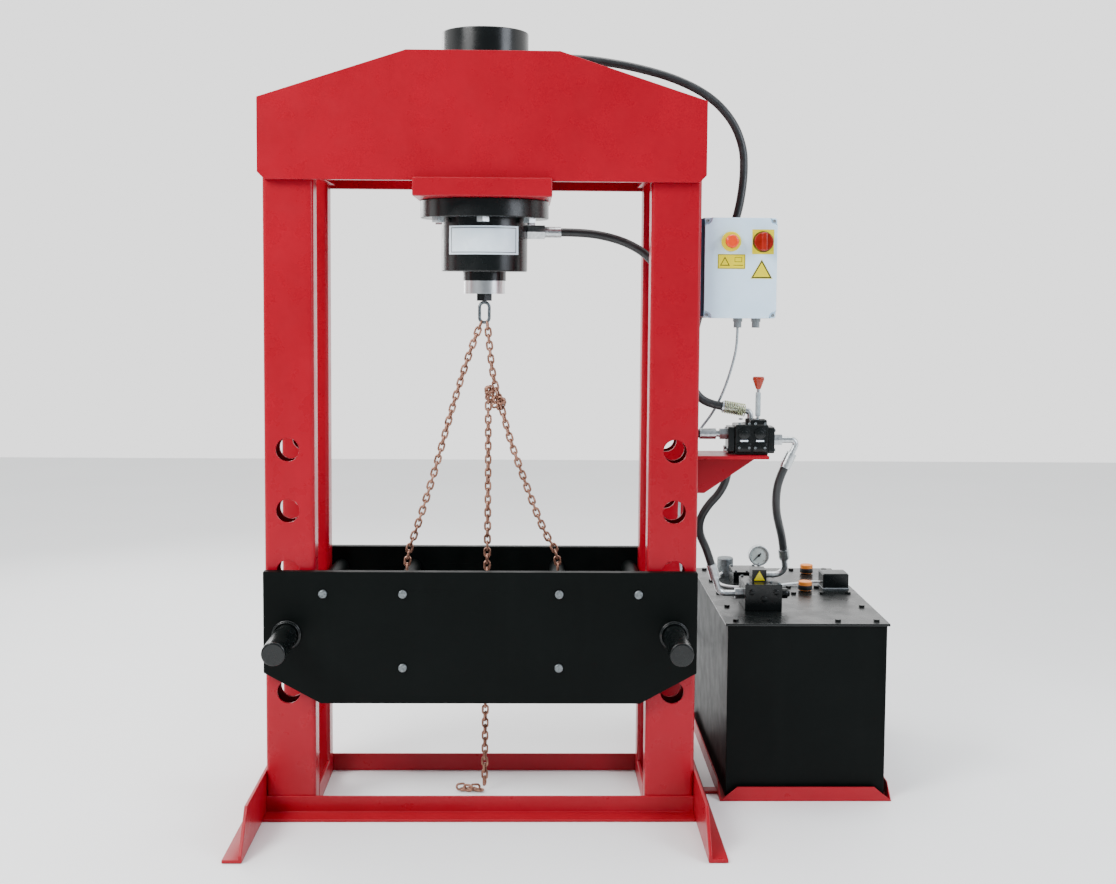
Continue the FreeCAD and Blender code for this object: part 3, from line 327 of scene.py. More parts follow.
def plastic(name, look):
    # moulded plastic or printed vinyl: even colour, faint cloudiness and a fine mould grain
    material, tree, shader, coords = startMaterial(name, IOR=1.46)
    cloud = addNode(tree, "ShaderNodeTexNoise", {"Vector": coords, "Detail": 3,
                                                 "Scale": 1000 / look.get("cloudMm", 25)})
    uneven = addNode(tree, "ShaderNodeMapRange", {"Value": cloud.outputs["Fac"], "From Min": 0.3,
                                                  "From Max": 0.7})
    tone = addNode(tree, "ShaderNodeMix", {0: uneven.outputs[0], 6: linear(look["dark"]),
                                           7: linear(look["light"])}, data_type="RGBA")
    tree.links.new(tone.outputs[2], shader.inputs["Base Color"])
    rough = addNode(tree, "ShaderNodeMapRange", {"Value": uneven.outputs[0], "To Min": look["rough"][0],
                                                 "To Max": look["rough"][1]})
    tree.links.new(rough.outputs[0], shader.inputs["Roughness"])
    grain = addNode(tree, "ShaderNodeTexNoise", {"Vector": coords, "Detail": 2,
                                                 "Scale": 1000 / look.get("grainMm", 1.5)})
    bump = addNode(tree, "ShaderNodeBump", {"Height": grain.outputs["Fac"], "Distance": 0.0002,
                                            "Strength": look.get("bump", 0.08)})
    tree.links.new(bump.outputs["Normal"], shader.inputs["Normal"])
    return material


def hoseRubber(name, look):
    # cloth-wrapped cured rubber: shallow slanting marks of the wrapping tape along the hose
    material, tree, shader, coords = startMaterial(name, IOR=1.52)
    along = addNode(tree, "ShaderNodeTexCoord").outputs["UV"]
    around = addNode(tree, "ShaderNodeMapping", {"Vector": along, "Scale": look["wrapTurns"]})
    wrap = addNode(tree, "ShaderNodeTexWave", {"Vector": around.outputs[0], "Scale": 1.0,
                                               "Distortion": 0.6, "Detail": 1.0},
                   bands_direction="DIAGONAL")
    cloud = addNode(tree, "ShaderNodeTexNoise", {"Vector": coords, "Scale": 1000 / look["cloudMm"],
                                                 "Detail": 4, "Roughness": 0.6})
    uneven = addNode(tree, "ShaderNodeMapRange", {"Value": cloud.outputs["Fac"], "From Min": 0.3,
                                                  "From Max": 0.7})
    tone = addNode(tree, "ShaderNodeMix", {0: uneven.outputs[0], 6: linear(look["dark"]),
                                           7: linear(look["light"])}, data_type="RGBA")
    tree.links.new(tone.outputs[2], shader.inputs["Base Color"])
    rough = addNode(tree, "ShaderNodeMapRange", {"Value": uneven.outputs[0], "To Min": look["rough"][0],
                                                 "To Max": look["rough"][1]})
    tree.links.new(rough.outputs[0], shader.inputs["Roughness"])
    bump = addNode(tree, "ShaderNodeBump", {"Height": wrap.outputs["Fac"], "Strength": 0.25,
                                            "Distance": 0.0003})
    tree.links.new(bump.outputs["Normal"], shader.inputs["Normal"])
    return material


# Lengths ending in Mm are real. Orange peel is 1 to 2 mm across on sprayed steel and mould grain
# under half a millimetre; both are drawn coarser here, as finer ones only sparkle at this distance.

# deep red gloss on the whole frame: the colour the eye meets first
frameEnamel = enamel("redGlossEnamel", {
    "tone": "#9C041E", "deep": "#900319", "soiled": "#7A1016", "dustTone": "#A9655C", "grime": 0.14,
    "patchMm": 320, "streakMm": 150, "dust": 0.06, "rough": (0.24, 0.34), "peelMm": 9, "peel": 0.03,
    "specular": 0.24})
# black on rolled plate and the tank: flat and heavy, with little shine
blackEnamel = enamel("blackSatinEnamel", {
    "tone": "#060A09", "deep": "#030605", "soiled": "#121514", "dustTone": "#4B4C48", "grime": 0.2,
    "patchMm": 240, "streakMm": 110, "dust": 0.03, "rough": (0.4, 0.5), "peelMm": 12, "peel": 0.02,
    "specular": 0.08})
# black on cylinder, valve and pins: turned shapes drawn by their highlights
blackGloss = enamel("blackGlossEnamel", {
    "tone": "#0A0F0F", "deep": "#060909", "soiled": "#181B1B", "dustTone": "#55544F", "grime": 0.18,
    "patchMm": 160, "streakMm": 80, "dust": 0.03, "rough": (0.2, 0.32), "peelMm": 7, "peel": 0.03,
    "specular": 0.36})
# powder coat on the control box's cover: the one pale, cool area, softly grained
boxEnamel = enamel("paleBluePowderCoat", {
    "tone": "#D3ECFF", "deep": "#C9E5F8", "soiled": "#CBD8DF", "dustTone": "#D2D6D6", "grime": 0.08,
    "patchMm": 90, "streakMm": 60, "dust": 0.06, "rough": (0.36, 0.46), "peelMm": 2.4, "peel": 0.12,
    "specular": 0.4})
# the box's body: the cover's own powder coat, drawn duller, darker and greener as painted shade of its shaded
# side
boxShadedSideEnamel = enamel("coverCoatPaintedShade", {
    "tone": "#8E9C98", "deep": "#82908C", "soiled": "#6A7673", "dustTone": "#B5B8B5", "grime": 0.15,
    "patchMm": 90, "streakMm": 60, "dust": 0.08, "rough": (0.36, 0.46), "peelMm": 2.4, "peel": 0.12,
    "specular": 0.4})
# bright zinc on fittings, bolts and levers: small sharp sparks beside the black
zincPlate = metal("zincPlatedSteel", {
    "light": "#D6DADB", "dark": "#AAB0B2", "blotchMm": 9, "grain": (1, 1, 1), "grainMm": 1.2,
    "rough": (0.28, 0.44), "bump": 0.08})
# zinc gone grey on old screws and the filter can
dullZinc = metal("weatheredZincPlate", {
    "light": "#8E9496", "dark": "#5F6567", "blotchMm": 6, "grain": (1, 1, 1), "grainMm": 1.0,
    "rough": (0.4, 0.6), "bump": 0.12})
# passivated wire of the spring guard: a faint green-yellow glint
yellowZinc = metal("yellowGreenPassivatedWire", {
    "light": "#D6DCBC", "dark": "#A2AC80", "blotchMm": 5, "grain": (1, 1, 1), "grainMm": 1.0,
    "rough": (0.3, 0.48), "bump": 0.06})
# ground and chromed rod: a clean column of light, its long marks running round it
hardChrome = metal("hardChrome", {
    "light": "#DCDEDF", "dark": "#C8CBCC", "blotchMm": 60, "grain": (1, 1, 30), "grainMm": 30,
    "rough": (0.28, 0.34), "bump": 0.01})
# shackle: forged and galvanised, mottled grey
forgedSteel = metal("galvanisedForgedSteel", {
    "light": "#7C8386", "dark": "#4B5154", "blotchMm": 7, "grain": (1, 1, 1), "grainMm": 1.5,
    "rough": (0.3, 0.48), "bump": 0.15})
# chain: oiled rust, a warm brown line in front of the red
chainSteel = metal("oiledRustyChainSteel", {
    "light": "#B98D78", "dark": "#6B4535", "blotchMm": 16, "grain": (1, 1, 1), "grainMm": 2,
    "rough": (0.3, 0.5), "bump": 0.22, "metallic": 0.75})
# brass of the one uncoated fitting
brassMetal = metal("turnedBrass", {
    "light": "#C9A35A", "dark": "#9C7A3C", "blotchMm": 8, "grain": (1, 1, 1), "grainMm": 1.5,
    "rough": (0.25, 0.4), "bump": 0.06})
# hoses: dull cured rubber whose slanting tape marks break the highlight
rubber = hoseRubber("wrappedHoseRubber", {
    "light": "#202325", "dark": "#131516", "rough": (0.36, 0.5), "wrapTurns": (60, 3, 1), "cloudMm": 40})
# cable sheaths and glands: soft matt plastics, each a little different in grey
greyPvc = plastic("greyPvcSheath", {"light": "#A5B0B4", "dark": "#8F999D", "rough": (0.4, 0.52)})
whitePvc = plastic("whitePvcSheath", {"light": "#F2F5F5", "dark": "#DFE3E4", "rough": (0.38, 0.5)})
greyPolyamide = plastic("greyPolyamideGland", {"light": "#8F9598", "dark": "#787E81", "rough": (0.4, 0.5)})
# brush-painted bracket: dark blue, uneven
darkBracket = plastic("darkBlueBracketPaint", {"light": "#17203A", "dark": "#0F1628", "rough": (0.3, 0.4),
                                               "bump": 0.12, "grainMm": 3})
# plates, signs and ink: thin, flat and even, so they read as printed
whiteLabel = plastic("whitePrintedFoil", {"light": "#E9F6FF", "dark": "#DCEDF8", "rough": (0.22, 0.3),
                                          "cloudMm": 60, "bump": 0.03})
darkPrint = plastic("darkPrintingInk", {"light": "#1A2128", "dark": "#11161B", "rough": (0.3, 0.4),
                                        "bump": 0.02})
yellowFoil = plastic("yellowVinylFoil", {"light": "#E4D400", "dark": "#DAC900", "rough": (0.28, 0.36),
                                         "cloudMm": 50, "bump": 0.03})
# controls and caps: clear strong colours, the glossy ones for the hand
redPlastic = plastic("redPolycarbonate", {"light": "#9E1C0A", "dark": "#881507", "rough": (0.18, 0.26)})
orangePlastic = plastic("orangeRedPolycarbonate", {"light": "#E8400C", "dark": "#D63A0A",
                                                   "rough": (0.2, 0.3)})
capOrange = plastic("orangeMouldedCap", {"light": "#E88A34", "dark": "#D97C28", "rough": (0.4, 0.5)})
blackPlastic = plastic("blackMouldedNylon", {"light": "#141617", "dark": "#0D0F10", "rough": (0.34, 0.46),
                                             "bump": 0.14})
knobPhenolic = plastic("brownRedPhenolic", {"light": "#A02C12", "dark": "#7E220E", "rough": (0.2, 0.3)})
dialPaint = plastic("paleGreenDialPaint", {"light": "#D8E2DC", "dark": "#C9D4CD", "rough": (0.3, 0.4)})
print("materials ready:", len(bpy.data.materials))


# camera, light and floor

view = {"place": (0.1394, -4.3581, 1.6068), "pitch": 4.134, "yaw": 1.197, "roll": 0.426,
        "lens": 45.16, "rise": -0.0495}
camera = bpy.data.objects.new("camera", bpy.data.cameras.new("camera"))
bpy.context.scene.collection.objects.link(camera)
camera.location = view["place"]
aim = Euler((math.radians(90 - view["pitch"]), 0, -math.radians(view["yaw"]))).to_matrix()
camera.rotation_euler = (aim @ Matrix.Rotation(math.radians(view["roll"]), 3, "Z")).to_euler()
camera.data.lens = view["lens"]
camera.data.shift_y = view["rise"]
bpy.context.scene.camera = camera

studio = {"floorSize": 14, "floorMiddle": (0.3, 1.5, -0.001), "floorTones": ("#EDEEEE", "#F4F5F5"),
          "scuffMm": 900, "front": "#70757A", "back": "#FFFFFF", "strength": 1.9}
bpy.ops.mesh.primitive_plane_add(size=studio["floorSize"], location=studio["floorMiddle"])
floor = settle(bpy.context.object)
floor.name = "floor"
floorPaint, tree, shader, coords = startMaterial("paleStudioFloor", Roughness=0.6)
scuffs = addNode(tree, "ShaderNodeTexNoise", {"Vector": coords, "Scale": 1000 / studio["scuffMm"],
                                              "Detail": 3})
floorTones = [linear(tone) for tone in studio["floorTones"]]
floorTone = addNode(tree, "ShaderNodeMix", {0: scuffs.outputs["Fac"], 6: floorTones[0], 7: floorTones[1]},
                    data_type="RGBA")
tree.links.new(floorTone.outputs[2], shader.inputs["Base Color"])
floor.data.materials.append(floorPaint)

world = bpy.data.worlds.new("studio")
bpy.context.scene.world = world
world.use_nodes = True
# a white sweep behind the press, a dim room on the camera's side
sky = world.node_tree
facing = addNode(sky, "ShaderNodeSeparateXYZ",
                 {0: addNode(sky, "ShaderNodeTexCoord").outputs["Generated"]})
sweep = addNode(sky, "ShaderNodeMapRange", {"Value": facing.outputs["Y"], "From Min": -0.45,
                                            "From Max": 0.1})
shade = addNode(sky, "ShaderNodeMix", {0: sweep.outputs[0], 6: linear(studio["front"]),
                                       7: linear(studio["back"])}, data_type="RGBA")
sky.links.new(shade.outputs[2], sky.nodes["Background"].inputs["Color"])
sky.nodes["Background"].inputs["Strength"].default_value = studio["strength"]


def softLight(name, spot, target, size, power, tint="#FFFFFF"):
    light = bpy.data.lights.new(name, "AREA")
    light.shape = "RECTANGLE"
    light.size, light.size_y = size
    light.energy = power
    light.color = linear(tint)[:3]
    lamp = bpy.data.objects.new(name, light)
    lamp.location = spot
    lamp.rotation_euler = (Vector(target) - Vector(spot)).to_track_quat("-Z", "Y").to_euler()
    bpy.context.scene.collection.objects.link(lamp)


softLight("keySoftbox", (-3.2, -3.2, 4.4), (0.1, 0, 1.1), (2.4, 2.4), 390)
softLight("fillSoftbox", (4.2, -2.6, 3.0), (0.4, 0, 1.0), (2.0, 2.6), 165, "#EEF4FF")
softLight("topPanel", (0.3, 0.4, 4.8), (0.3, 0.2, 0.6), (3.4, 2.4), 110)
softLight("backStrip", (-2.2, 3.4, 2.6), (0.2, 0, 1.2), (1.2, 2.6), 60)
print("camera, light and floor ready")


# hoses and cables

def nurbsLine(name, points, radius, resolution=14):
    curve = bpy.data.curves.new(name, "CURVE")
    curve.dimensions = "3D"
    spline = curve.splines.new("NURBS")
    spline.points.add(len(points) - 1)
    for point, co in zip(spline.points, points):
        point.co = (*co, 1)
    spline.order_u = 3
    spline.use_endpoint_u = True
    spline.resolution_u = resolution
    curve.bevel_depth = radius
    curve.bevel_resolution = 8
    curve.use_fill_caps = True
    piece = bpy.data.objects.new(name, curve)
    bpy.context.scene.collection.objects.link(piece)
    return piece


lines = {
    "cap_hose": {
        "points": [(0.2245, 0, 2.302), (0.285, 0, 2.302), (0.355, 0.006, 2.296), (0.46, 0.022, 2.282),
                   (0.59, 0.038, 2.251), (0.7, 0.049, 2.199), (0.772, 0.054, 2.126), (0.806, 0.056, 2.045),
                   (0.81, 0.054, 1.975), (0.804, 0.05, 1.905), (0.79, 0.045, 1.832), (0.761, 0.038, 1.75),
                   (0.72, 0.03, 1.665), (0.688, 0.024, 1.58), (0.664, 0.016, 1.497), (0.648, 0.004, 1.425),
                   (0.64, -0.009, 1.365), (0.643, -0.02, 1.312), (0.6616, -0.025, 1.2706),
                   (0.6977, -0.025, 1.2437), (0.741, -0.025, 1.236)],
        "diameter": 0.026, "length": 1.58, "material": rubber, "slot": "hose_rubber"},
    "rod_hose": {
        "points": [(0.2365, 0, 1.771), (0.295, 0, 1.771), (0.365, 0, 1.763), (0.44, 0, 1.742),
                   (0.507, -0.003, 1.703), (0.55, -0.008, 1.643), (0.566, -0.014, 1.565),
                   (0.562, -0.022, 1.475), (0.55, -0.032, 1.385), (0.539, -0.041, 1.305),
                   (0.534, -0.044, 1.233), (0.563, -0.044, 1.182), (0.615, -0.044, 1.152),
                   (0.67, -0.044, 1.152)],
        "diameter": 0.026, "length": 0.94, "material": rubber, "slot": "hose_rubber"},
    "pressure_hose": {
        "points": [(0.9357, -0.05, 1.0479), (0.918, -0.05, 1.0098), (0.913, -0.034, 0.953),
                   (0.922, 0, 0.895), (0.939, 0.036, 0.847), (0.955, 0.0736, 0.8047),
                   (0.966, 0.11, 0.765)],
        "diameter": 0.026, "length": 0.344, "material": rubber, "slot": "hose_rubber"},
    "return_hose": {
        "points": [(0.774, 0.048, 1.055), (0.774, 0.048, 1.006), (0.75, 0.057, 0.951),
                   (0.714, 0.074, 0.908), (0.691, 0.094, 0.859), (0.694, 0.122, 0.808),
                   (0.7235, 0.15, 0.7509), (0.738, 0.15, 0.703)],
        "diameter": 0.026, "length": 0.401, "material": rubber, "slot": "hose_rubber"},
    "lid_cable": {
        "points": [(0.8415, 0.6331, 0.574), (0.829, 0.611, 0.574), (0.816, 0.571, 0.567),
                   (0.811, 0.52, 0.567), (0.816, 0.463, 0.567), (0.846, 0.431, 0.567),
                   (0.9, 0.429, 0.567), (0.955, 0.433, 0.567), (1.0, 0.447, 0.567),
                   (1.045, 0.475, 0.567), (1.092, 0.489, 0.568), (1.129, 0.474, 0.577),
                   (1.165, 0.474, 0.577)],
        "diameter": 0.009, "length": 0.549, "material": whitePvc, "slot": "cable_white"},
    "control_cable": {
        "points": [(0.781, -0.055, 1.482), (0.781, -0.054, 1.43), (0.772, -0.04, 1.375),
                   (0.757, -0.024, 1.315), (0.74, -0.006, 1.262), (0.714, 0.008, 1.207),
                   (0.679, 0.016, 1.16), (0.648, 0.022, 1.107), (0.629, 0.028, 1.04),
                   (0.62, 0.036, 0.96), (0.619, 0.043, 0.865), (0.622, 0.051, 0.77),
                   (0.632, 0.062, 0.69), (0.652, 0.086, 0.62), (0.666, 0.13, 0.56),
                   (0.669, 0.195, 0.5), (0.673, 0.28, 0.44), (0.683, 0.38, 0.385),
                   (0.698, 0.49, 0.345), (0.716, 0.605, 0.325), (0.736, 0.715, 0.325),
                   (0.763, 0.803, 0.335), (0.8, 0.858, 0.348), (0.85, 0.889, 0.366),
                   (0.888, 0.882, 0.387), (0.9, 0.85, 0.4), (0.9, 0.804, 0.4)],
        "diameter": 0.008, "length": 1.984, "material": greyPvc, "slot": "cable_grey"},
}
for name, line in lines.items():
    cord = nurbsLine(name + "_line", line["points"], line["diameter"] / 2)
    cord.data.materials.append(line["material"])
    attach(cord, "frame")
    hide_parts(name)
print("hoses and cables ready:", len(lines))


# lifting chain

chain = {"wire": 0.0035, "pitch": 0.021, "halfWidth": 0.0085, "tieTop": 0.72, "stroke": 0.3}


def makeLink():
    bpy.ops.mesh.primitive_torus_add(major_segments=20, minor_segments=8,
                                     major_radius=chain["halfWidth"], minor_radius=chain["wire"])
    link = bpy.context.object
    reach = chain["pitch"] / 2 + chain["wire"] - chain["halfWidth"]
    for side in (-1, 1):
        chooseVerts(link, lambda co: co.x * side > 0.0001)
        bpy.ops.transform.translate(value=(side * reach, 0, 0))
        leaveEdit()
    return smooth(link, 80)


def lineThrough(points):
    # the smooth line of a route, as points close together
    guide = nurbsLine("guide", points, 0, 24)
    guide.data.use_fill_caps = False
    mesh = bpy.data.meshes.new_from_object(guide)
    line = [v.co.copy() for v in mesh.vertices]
    bpy.data.objects.remove(guide)
    return line


def stations(line, step):
    # places every step along a line, each with its direction
    found, travelled, due = [], 0.0, step / 2
    for a, b in zip(line, line[1:]):
        span = (b - a).length
        while travelled + span >= due:
            found.append((a.lerp(b, (due - travelled) / span), (b - a).normalized()))
            due += step
        travelled += span
    return found


def hangLinks(link, line):
    # links strung along a line, every other one turned a quarter, with a slow wander in the twist
    copies = []
    for number, (centre, direction) in enumerate(stations(line, chain["pitch"])):
        along = Vector((1, 0, 0)).rotation_difference(direction).to_matrix().to_4x4()
        turn = 6 + 90 * (number % 2) + 12 * math.sin(number / 7) + random.uniform(-6, 6)
        twist = Matrix.Rotation(math.radians(turn), 4, "X")
        copies.append(duplicate(link, Matrix.Translation(centre) @ along @ twist))
    return copies


def heapLinks(link, middle, count, reach):
    # a loose bunch of links, where slack chain is gathered
    copies = []
    for number in range(count):
        turn = random.uniform(0, 6.28)
        offset = Vector((random.uniform(-1, 1) * reach[0], random.uniform(-1, 1) * reach[1],
                         random.uniform(-1, 1) * reach[2]))
        tip = Euler((random.uniform(-1.5, 1.5), random.uniform(-1.2, 1.2), turn)).to_matrix().to_4x4()
        copies.append(duplicate(link, Matrix.Translation(Vector(middle) + offset) @ tip))
    return copies


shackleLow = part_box("chain_shackle")[0].z
tieX = 0.234
link = makeLink()
leftLeg = [(-0.009, 0, shackleLow + 0.006), (-0.038, 0, 1.42), (-0.072, 0, 1.315), (-0.112, 0, 1.179),
           (-0.155, 0, 1.018), (-0.214, 0, 0.83), (-tieX - 0.004, 0, 0.77), (-tieX - 0.006, 0, 0.715)]
rightLeg = [(0.009, 0, shackleLow + 0.006), (0.017, 0, 1.41), (0.027, 0, 1.322), (0.05, 0, 1.245),
            (0.077, 0, 1.139), (0.116, 0, 1.027), (0.19, 0, 0.831), (tieX, 0, 0.77), (tieX, 0, 0.715)]
legs = hangLinks(link, lineThrough(leftLeg)) + hangLinks(link, lineThrough(rightLeg))
legs += heapLinks(link, (0.016, 0, 1.270), 7, (0.009, 0.008, 0.016))
legs += heapLinks(link, (0.044, 0, 1.244), 7, (0.012, 0.009, 0.011))
chainLegs = place(joined(legs), "chainLegs", chainSteel, "frame", ["chain_legs"])
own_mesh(chainLegs)

tailTop = 1.262
tail = hangLinks(link, lineThrough([(0.013, 0, tailTop), (0.014, 0.001, 1.02), (0.011, 0, 0.7),
                                    (0.008, -0.002, 0.35), (0.006, 0, 0.03)]))
# the last links lie on the floor, flat and tipped by turns
floorLinks = {"count": 6, "first": -0.012, "step": 0.0115, "tip": 1.15, "flatZ": 0.005, "tippedZ": 0.0116}
for number in range(floorLinks["count"]):
    tipped = number % 2
    flat = (Matrix.Rotation(random.uniform(-0.5, 0.5), 4, "Z")
            @ Matrix.Rotation(floorLinks["tip"] * tipped, 4, "X"))
    spot = Vector((floorLinks["first"] - floorLinks["step"] * number, -0.004 + 0.006 * (number % 3),
                   floorLinks["tippedZ"] if tipped else floorLinks["flatZ"]))
    tail.append(duplicate(link, Matrix.Translation(spot) @ flat))
bpy.data.objects.remove(link)
chainTail = place(joined(tail), "chainTail", chainSteel, "frame", ["chain_tail"])
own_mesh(chainTail)
print("chain ready")


# frame, crosshead, bed

for name, source, width in (
        ("frontColumns", "front_columns", 0.0015), ("rearColumns", "rear_columns", 0.0015),
        ("baseAngles", "base_angles", 0.0015), ("footRails", "foot_rails", 0.002),
        ("crossheadFront", "crosshead_front_plate", 0.002), ("crossheadRear", "crosshead_rear_plate", 0.002),
        ("crossheadRibs", "crosshead_ribs", 0.0015), ("cylinderMountPlate", "cylinder_mount_plate", 0.005),
        ("valveBracket", "valve_bracket", 0.0012), ("tankTray", "tank_tray", 0.001)):
    roundedCopy(source, name, frameEnamel, width)
for name, source, width, paint in (
        ("bedFrontPlate", "bed_front_plate", 0.0025, blackEnamel),
        ("bedRearPlate", "bed_rear_plate", 0.0025, blackEnamel),
        ("bedTieTubes", "bed_tie_tubes", 0.001, blackEnamel),
        ("tankShell", "tank_shell", 0.0015, blackEnamel), ("tankLid", "tank_lid", 0.0022, blackGloss),
        ("cylinderBarrel", "cylinder_barrel", 0.004, blackGloss),
        ("cylinderFlange", "cylinder_flange", 0.003, blackGloss),
        ("cylinderGland", "cylinder_gland", 0.0015, blackGloss),
        ("valveBody", "valve_body", 0.003, blackGloss),
        ("manifoldBlock", "manifold_block", 0.0015, blackGloss),
        ("terminalBox", "terminal_box", 0.002, blackGloss)):
    roundedCopy(source, name, paint, width)
roundedCopy("eye_bolt", "ramStud", blackGloss, 0.001, "ram")
for side in ("left", "right"):
    roundedCopy("bed_pin_" + side, side + "Pin", blackGloss, 0.003, side + "_pin", 3)
print("painted plates ready")


def printedShape(name, sides, centre, size, material, line=0.0, thick=0.0003):
    # a label or a printed outline that faces forward: a flat sheet, inset with its middle taken
    # out where only the line stays, then given its thickness
    bpy.ops.mesh.primitive_circle_add(vertices=sides, radius=1, fill_type="NGON")
    sheet = bpy.context.object
    if sides == 4:
        sheet.data.transform(Matrix.Rotation(math.radians(45), 4, "Z"))
    low = [min(v.co[i] for v in sheet.data.vertices) for i in (0, 1)]
    high = [max(v.co[i] for v in sheet.data.vertices) for i in (0, 1)]
    sheet.data.transform(Matrix.Diagonal((size[0] / (high[0] - low[0]), size[1] / (high[1] - low[1]), 1, 1))
                         @ Matrix.Translation((-(low[0] + high[0]) / 2, -(low[1] + high[1]) / 2, 0)))
    if line:
        chooseFaces(sheet, lambda middle, normal: True)
        bpy.ops.mesh.inset(thickness=line, depth=0)
        bpy.ops.mesh.delete(type="FACE")
        leaveEdit()
    wall = sheet.modifiers.new("thickness", "SOLIDIFY")
    wall.thickness = thick
    wall.offset = 1
    applyModifiers(sheet)
    sheet.data.transform(Matrix.Translation(Vector(centre)) @ Matrix.Rotation(math.radians(90), 4, "X"))
    return place(sheet, name, material, "frame")


def socketScrew(centre, axis, radius, height):
    # cap screw: a turned head with its round edge and a hexagon socket sunk in the top
    bpy.ops.mesh.primitive_cylinder_add(vertices=24, radius=radius, depth=height)
    screw = bpy.context.object
    chooseFaces(screw, lambda middle, normal: normal.z > 0.9)
    bpy.ops.mesh.inset(thickness=radius * 0.42, depth=0)
    bpy.ops.mesh.extrude_region_move(TRANSFORM_OT_translate={"value": (0, 0, -height * 0.5)})
    leaveEdit()
    bevelled(screw, radius * 0.08, 2, 50)
    screw.data.transform(Matrix.Translation(Vector(centre)) @ turnTo(axis))
    return smooth(screw, 40)


# control box: cover with sunk corners, its screws, printed labels, stop button and main switch
cover = {"low": (0.667, -0.130, 1.512), "high": (0.887, -0.100, 1.815), "round": 0.008, "sunk": 0.009,
         "recess": 0.019, "edge": 0.0018, "bore": 0.0085, "controlZ": 1.743, "stopX": 0.746,
         "switchX": 0.843}
low, high = Vector(cover["low"]), Vector(cover["high"])
bpy.ops.mesh.primitive_cube_add(size=1)
coverPiece = bpy.context.object
coverPiece.data.transform(Matrix.Translation((low + high) / 2) @ Matrix.Diagonal((*(high - low), 1)))
activate(coverPiece)
bpy.ops.object.mode_set(mode="EDIT")
bpy.ops.mesh.select_mode(type="EDGE")
bpy.ops.mesh.select_all(action="DESELECT")
mesh = bmesh.from_edit_mesh(coverPiece.data)
for edge in mesh.edges:
    edge.select_set(abs(edge.verts[0].co.y - edge.verts[1].co.y) > 0.02)
bmesh.update_edit_mesh(coverPiece.data)
bpy.ops.mesh.bevel(offset=cover["round"], segments=5, affect="EDGES")
leaveEdit()
corners = [(x, z) for x in (low.x + 0.003, high.x - 0.003) for z in (low.z + 0.003, high.z - 0.003)]
cutters = [roundBar((x, low.y, z), (0, 1, 0), cover["recess"], cover["sunk"] * 2, 40) for x, z in corners]
cutters += [roundBar((x, low.y + 0.015, cover["controlZ"]), (0, 1, 0), cover["bore"], 0.04, 32)
            for x in (cover["stopX"], cover["switchX"])]
cutter = joined(cutters)
sinking = coverPiece.modifiers.new("corners", "BOOLEAN")
sinking.operation = "DIFFERENCE"
sinking.object = cutter
applyModifiers(coverPiece)
bpy.data.objects.remove(cutter)
smooth(coverPiece, 30)
bevelled(coverPiece, cover["edge"], 2, 40, harden=True)
place(coverPiece, "boxCoverShell", boxEnamel, "frame", ["box_cover"])
screws = [socketScrew((x, low.y + cover["sunk"] - 0.002, z), (0, -1, 0), 0.005, 0.004)
          for x in (low.x + 0.0095, high.x - 0.0095) for z in (low.z + 0.0095, high.z - 0.0095)]
place(joined(screws), "boxCoverScrews", greyPolyamide, "frame")
printFront = low.y - 0.001
for name, sides, x, z, size, line in (
        ("switchWarningOutline", 3, 0.840, 1.661, (0.062, 0.0545), 0.0034),
        ("plateWarningOutline", 4, 0.7485, 1.683, (0.081, 0.042), 0.0013),
        ("plateWarningSign", 3, 0.7285, 1.684, (0.030, 0.027), 0.0024),
        ("plateWarningRule", 4, 0.769, 1.672, (0.030, 0.0016), 0.0),
        ("plateWarningMark", 4, 0.769, 1.689, (0.022, 0.014), 0.0012)):
    printedShape(name, sides, (x, printFront, z), size, darkPrint, line)
place(ringAt((cover["switchX"], printFront - 0.0015, cover["controlZ"]), (0, 1, 0), 0.0303, 0.0013),
      "switchRing", blackPlastic, "frame")
roundedCopy("estop_button", "stopMushroom", orangePlastic, 0.004, "stop_button", 4)
roundedCopy("estop_collar", "stopCollar", yellowFoil, 0.003, "frame", 3)
roundedCopy("switch_handle", "switchGrip", redPlastic, 0.0015, "switch", 3)
print("control box ready")

# pressure gauge: pressed bezel, painted dial with its scale
gauge = {"middle": (0.935, 0.394, 0.685), "dial": 0.0308, "bezel": 0.0322, "sweep": 270, "marks": 31,
         "markEnd": 0.0275, "long": (0.0035, 0.0007), "short": (0.002, 0.0004)}
middle = Vector(gauge["middle"])
place(roundBar(middle - Vector((0, 0.0003, 0)), (0, -1, 0), gauge["dial"], 0.0005, 48, 0.0001), "gaugeDial",
      dialPaint, "frame")
marks = []
for number in range(gauge["marks"]):
    turn = math.radians(-gauge["sweep"] / 2 + gauge["sweep"] * number / (gauge["marks"] - 1))
    length, half = gauge["short"] if number % 5 else gauge["long"]
    mark = slab((-half, -0.0003, gauge["markEnd"] - length), (half, 0, gauge["markEnd"]), 0.00005, 1)
    mark.data.transform(Matrix.Translation(middle - Vector((0, 0.0006, 0))) @ Matrix.Rotation(turn, 4, "Y"))
    marks.append(mark)
place(joined(marks), "gaugeScale", darkPrint, "frame")
place(ringAt(middle - Vector((0, 0.0068, 0)), (0, 1, 0), gauge["bezel"], 0.0012, 56), "gaugeBezel",
      dullZinc, "frame")
print("gauge ready")

# rated-load plate: a printed outline that follows the barrel
plate = {"radius": 0.1344, "low": 1.7045, "high": 1.7795, "reach": 47, "line": 0.0018, "thick": 0.0003}


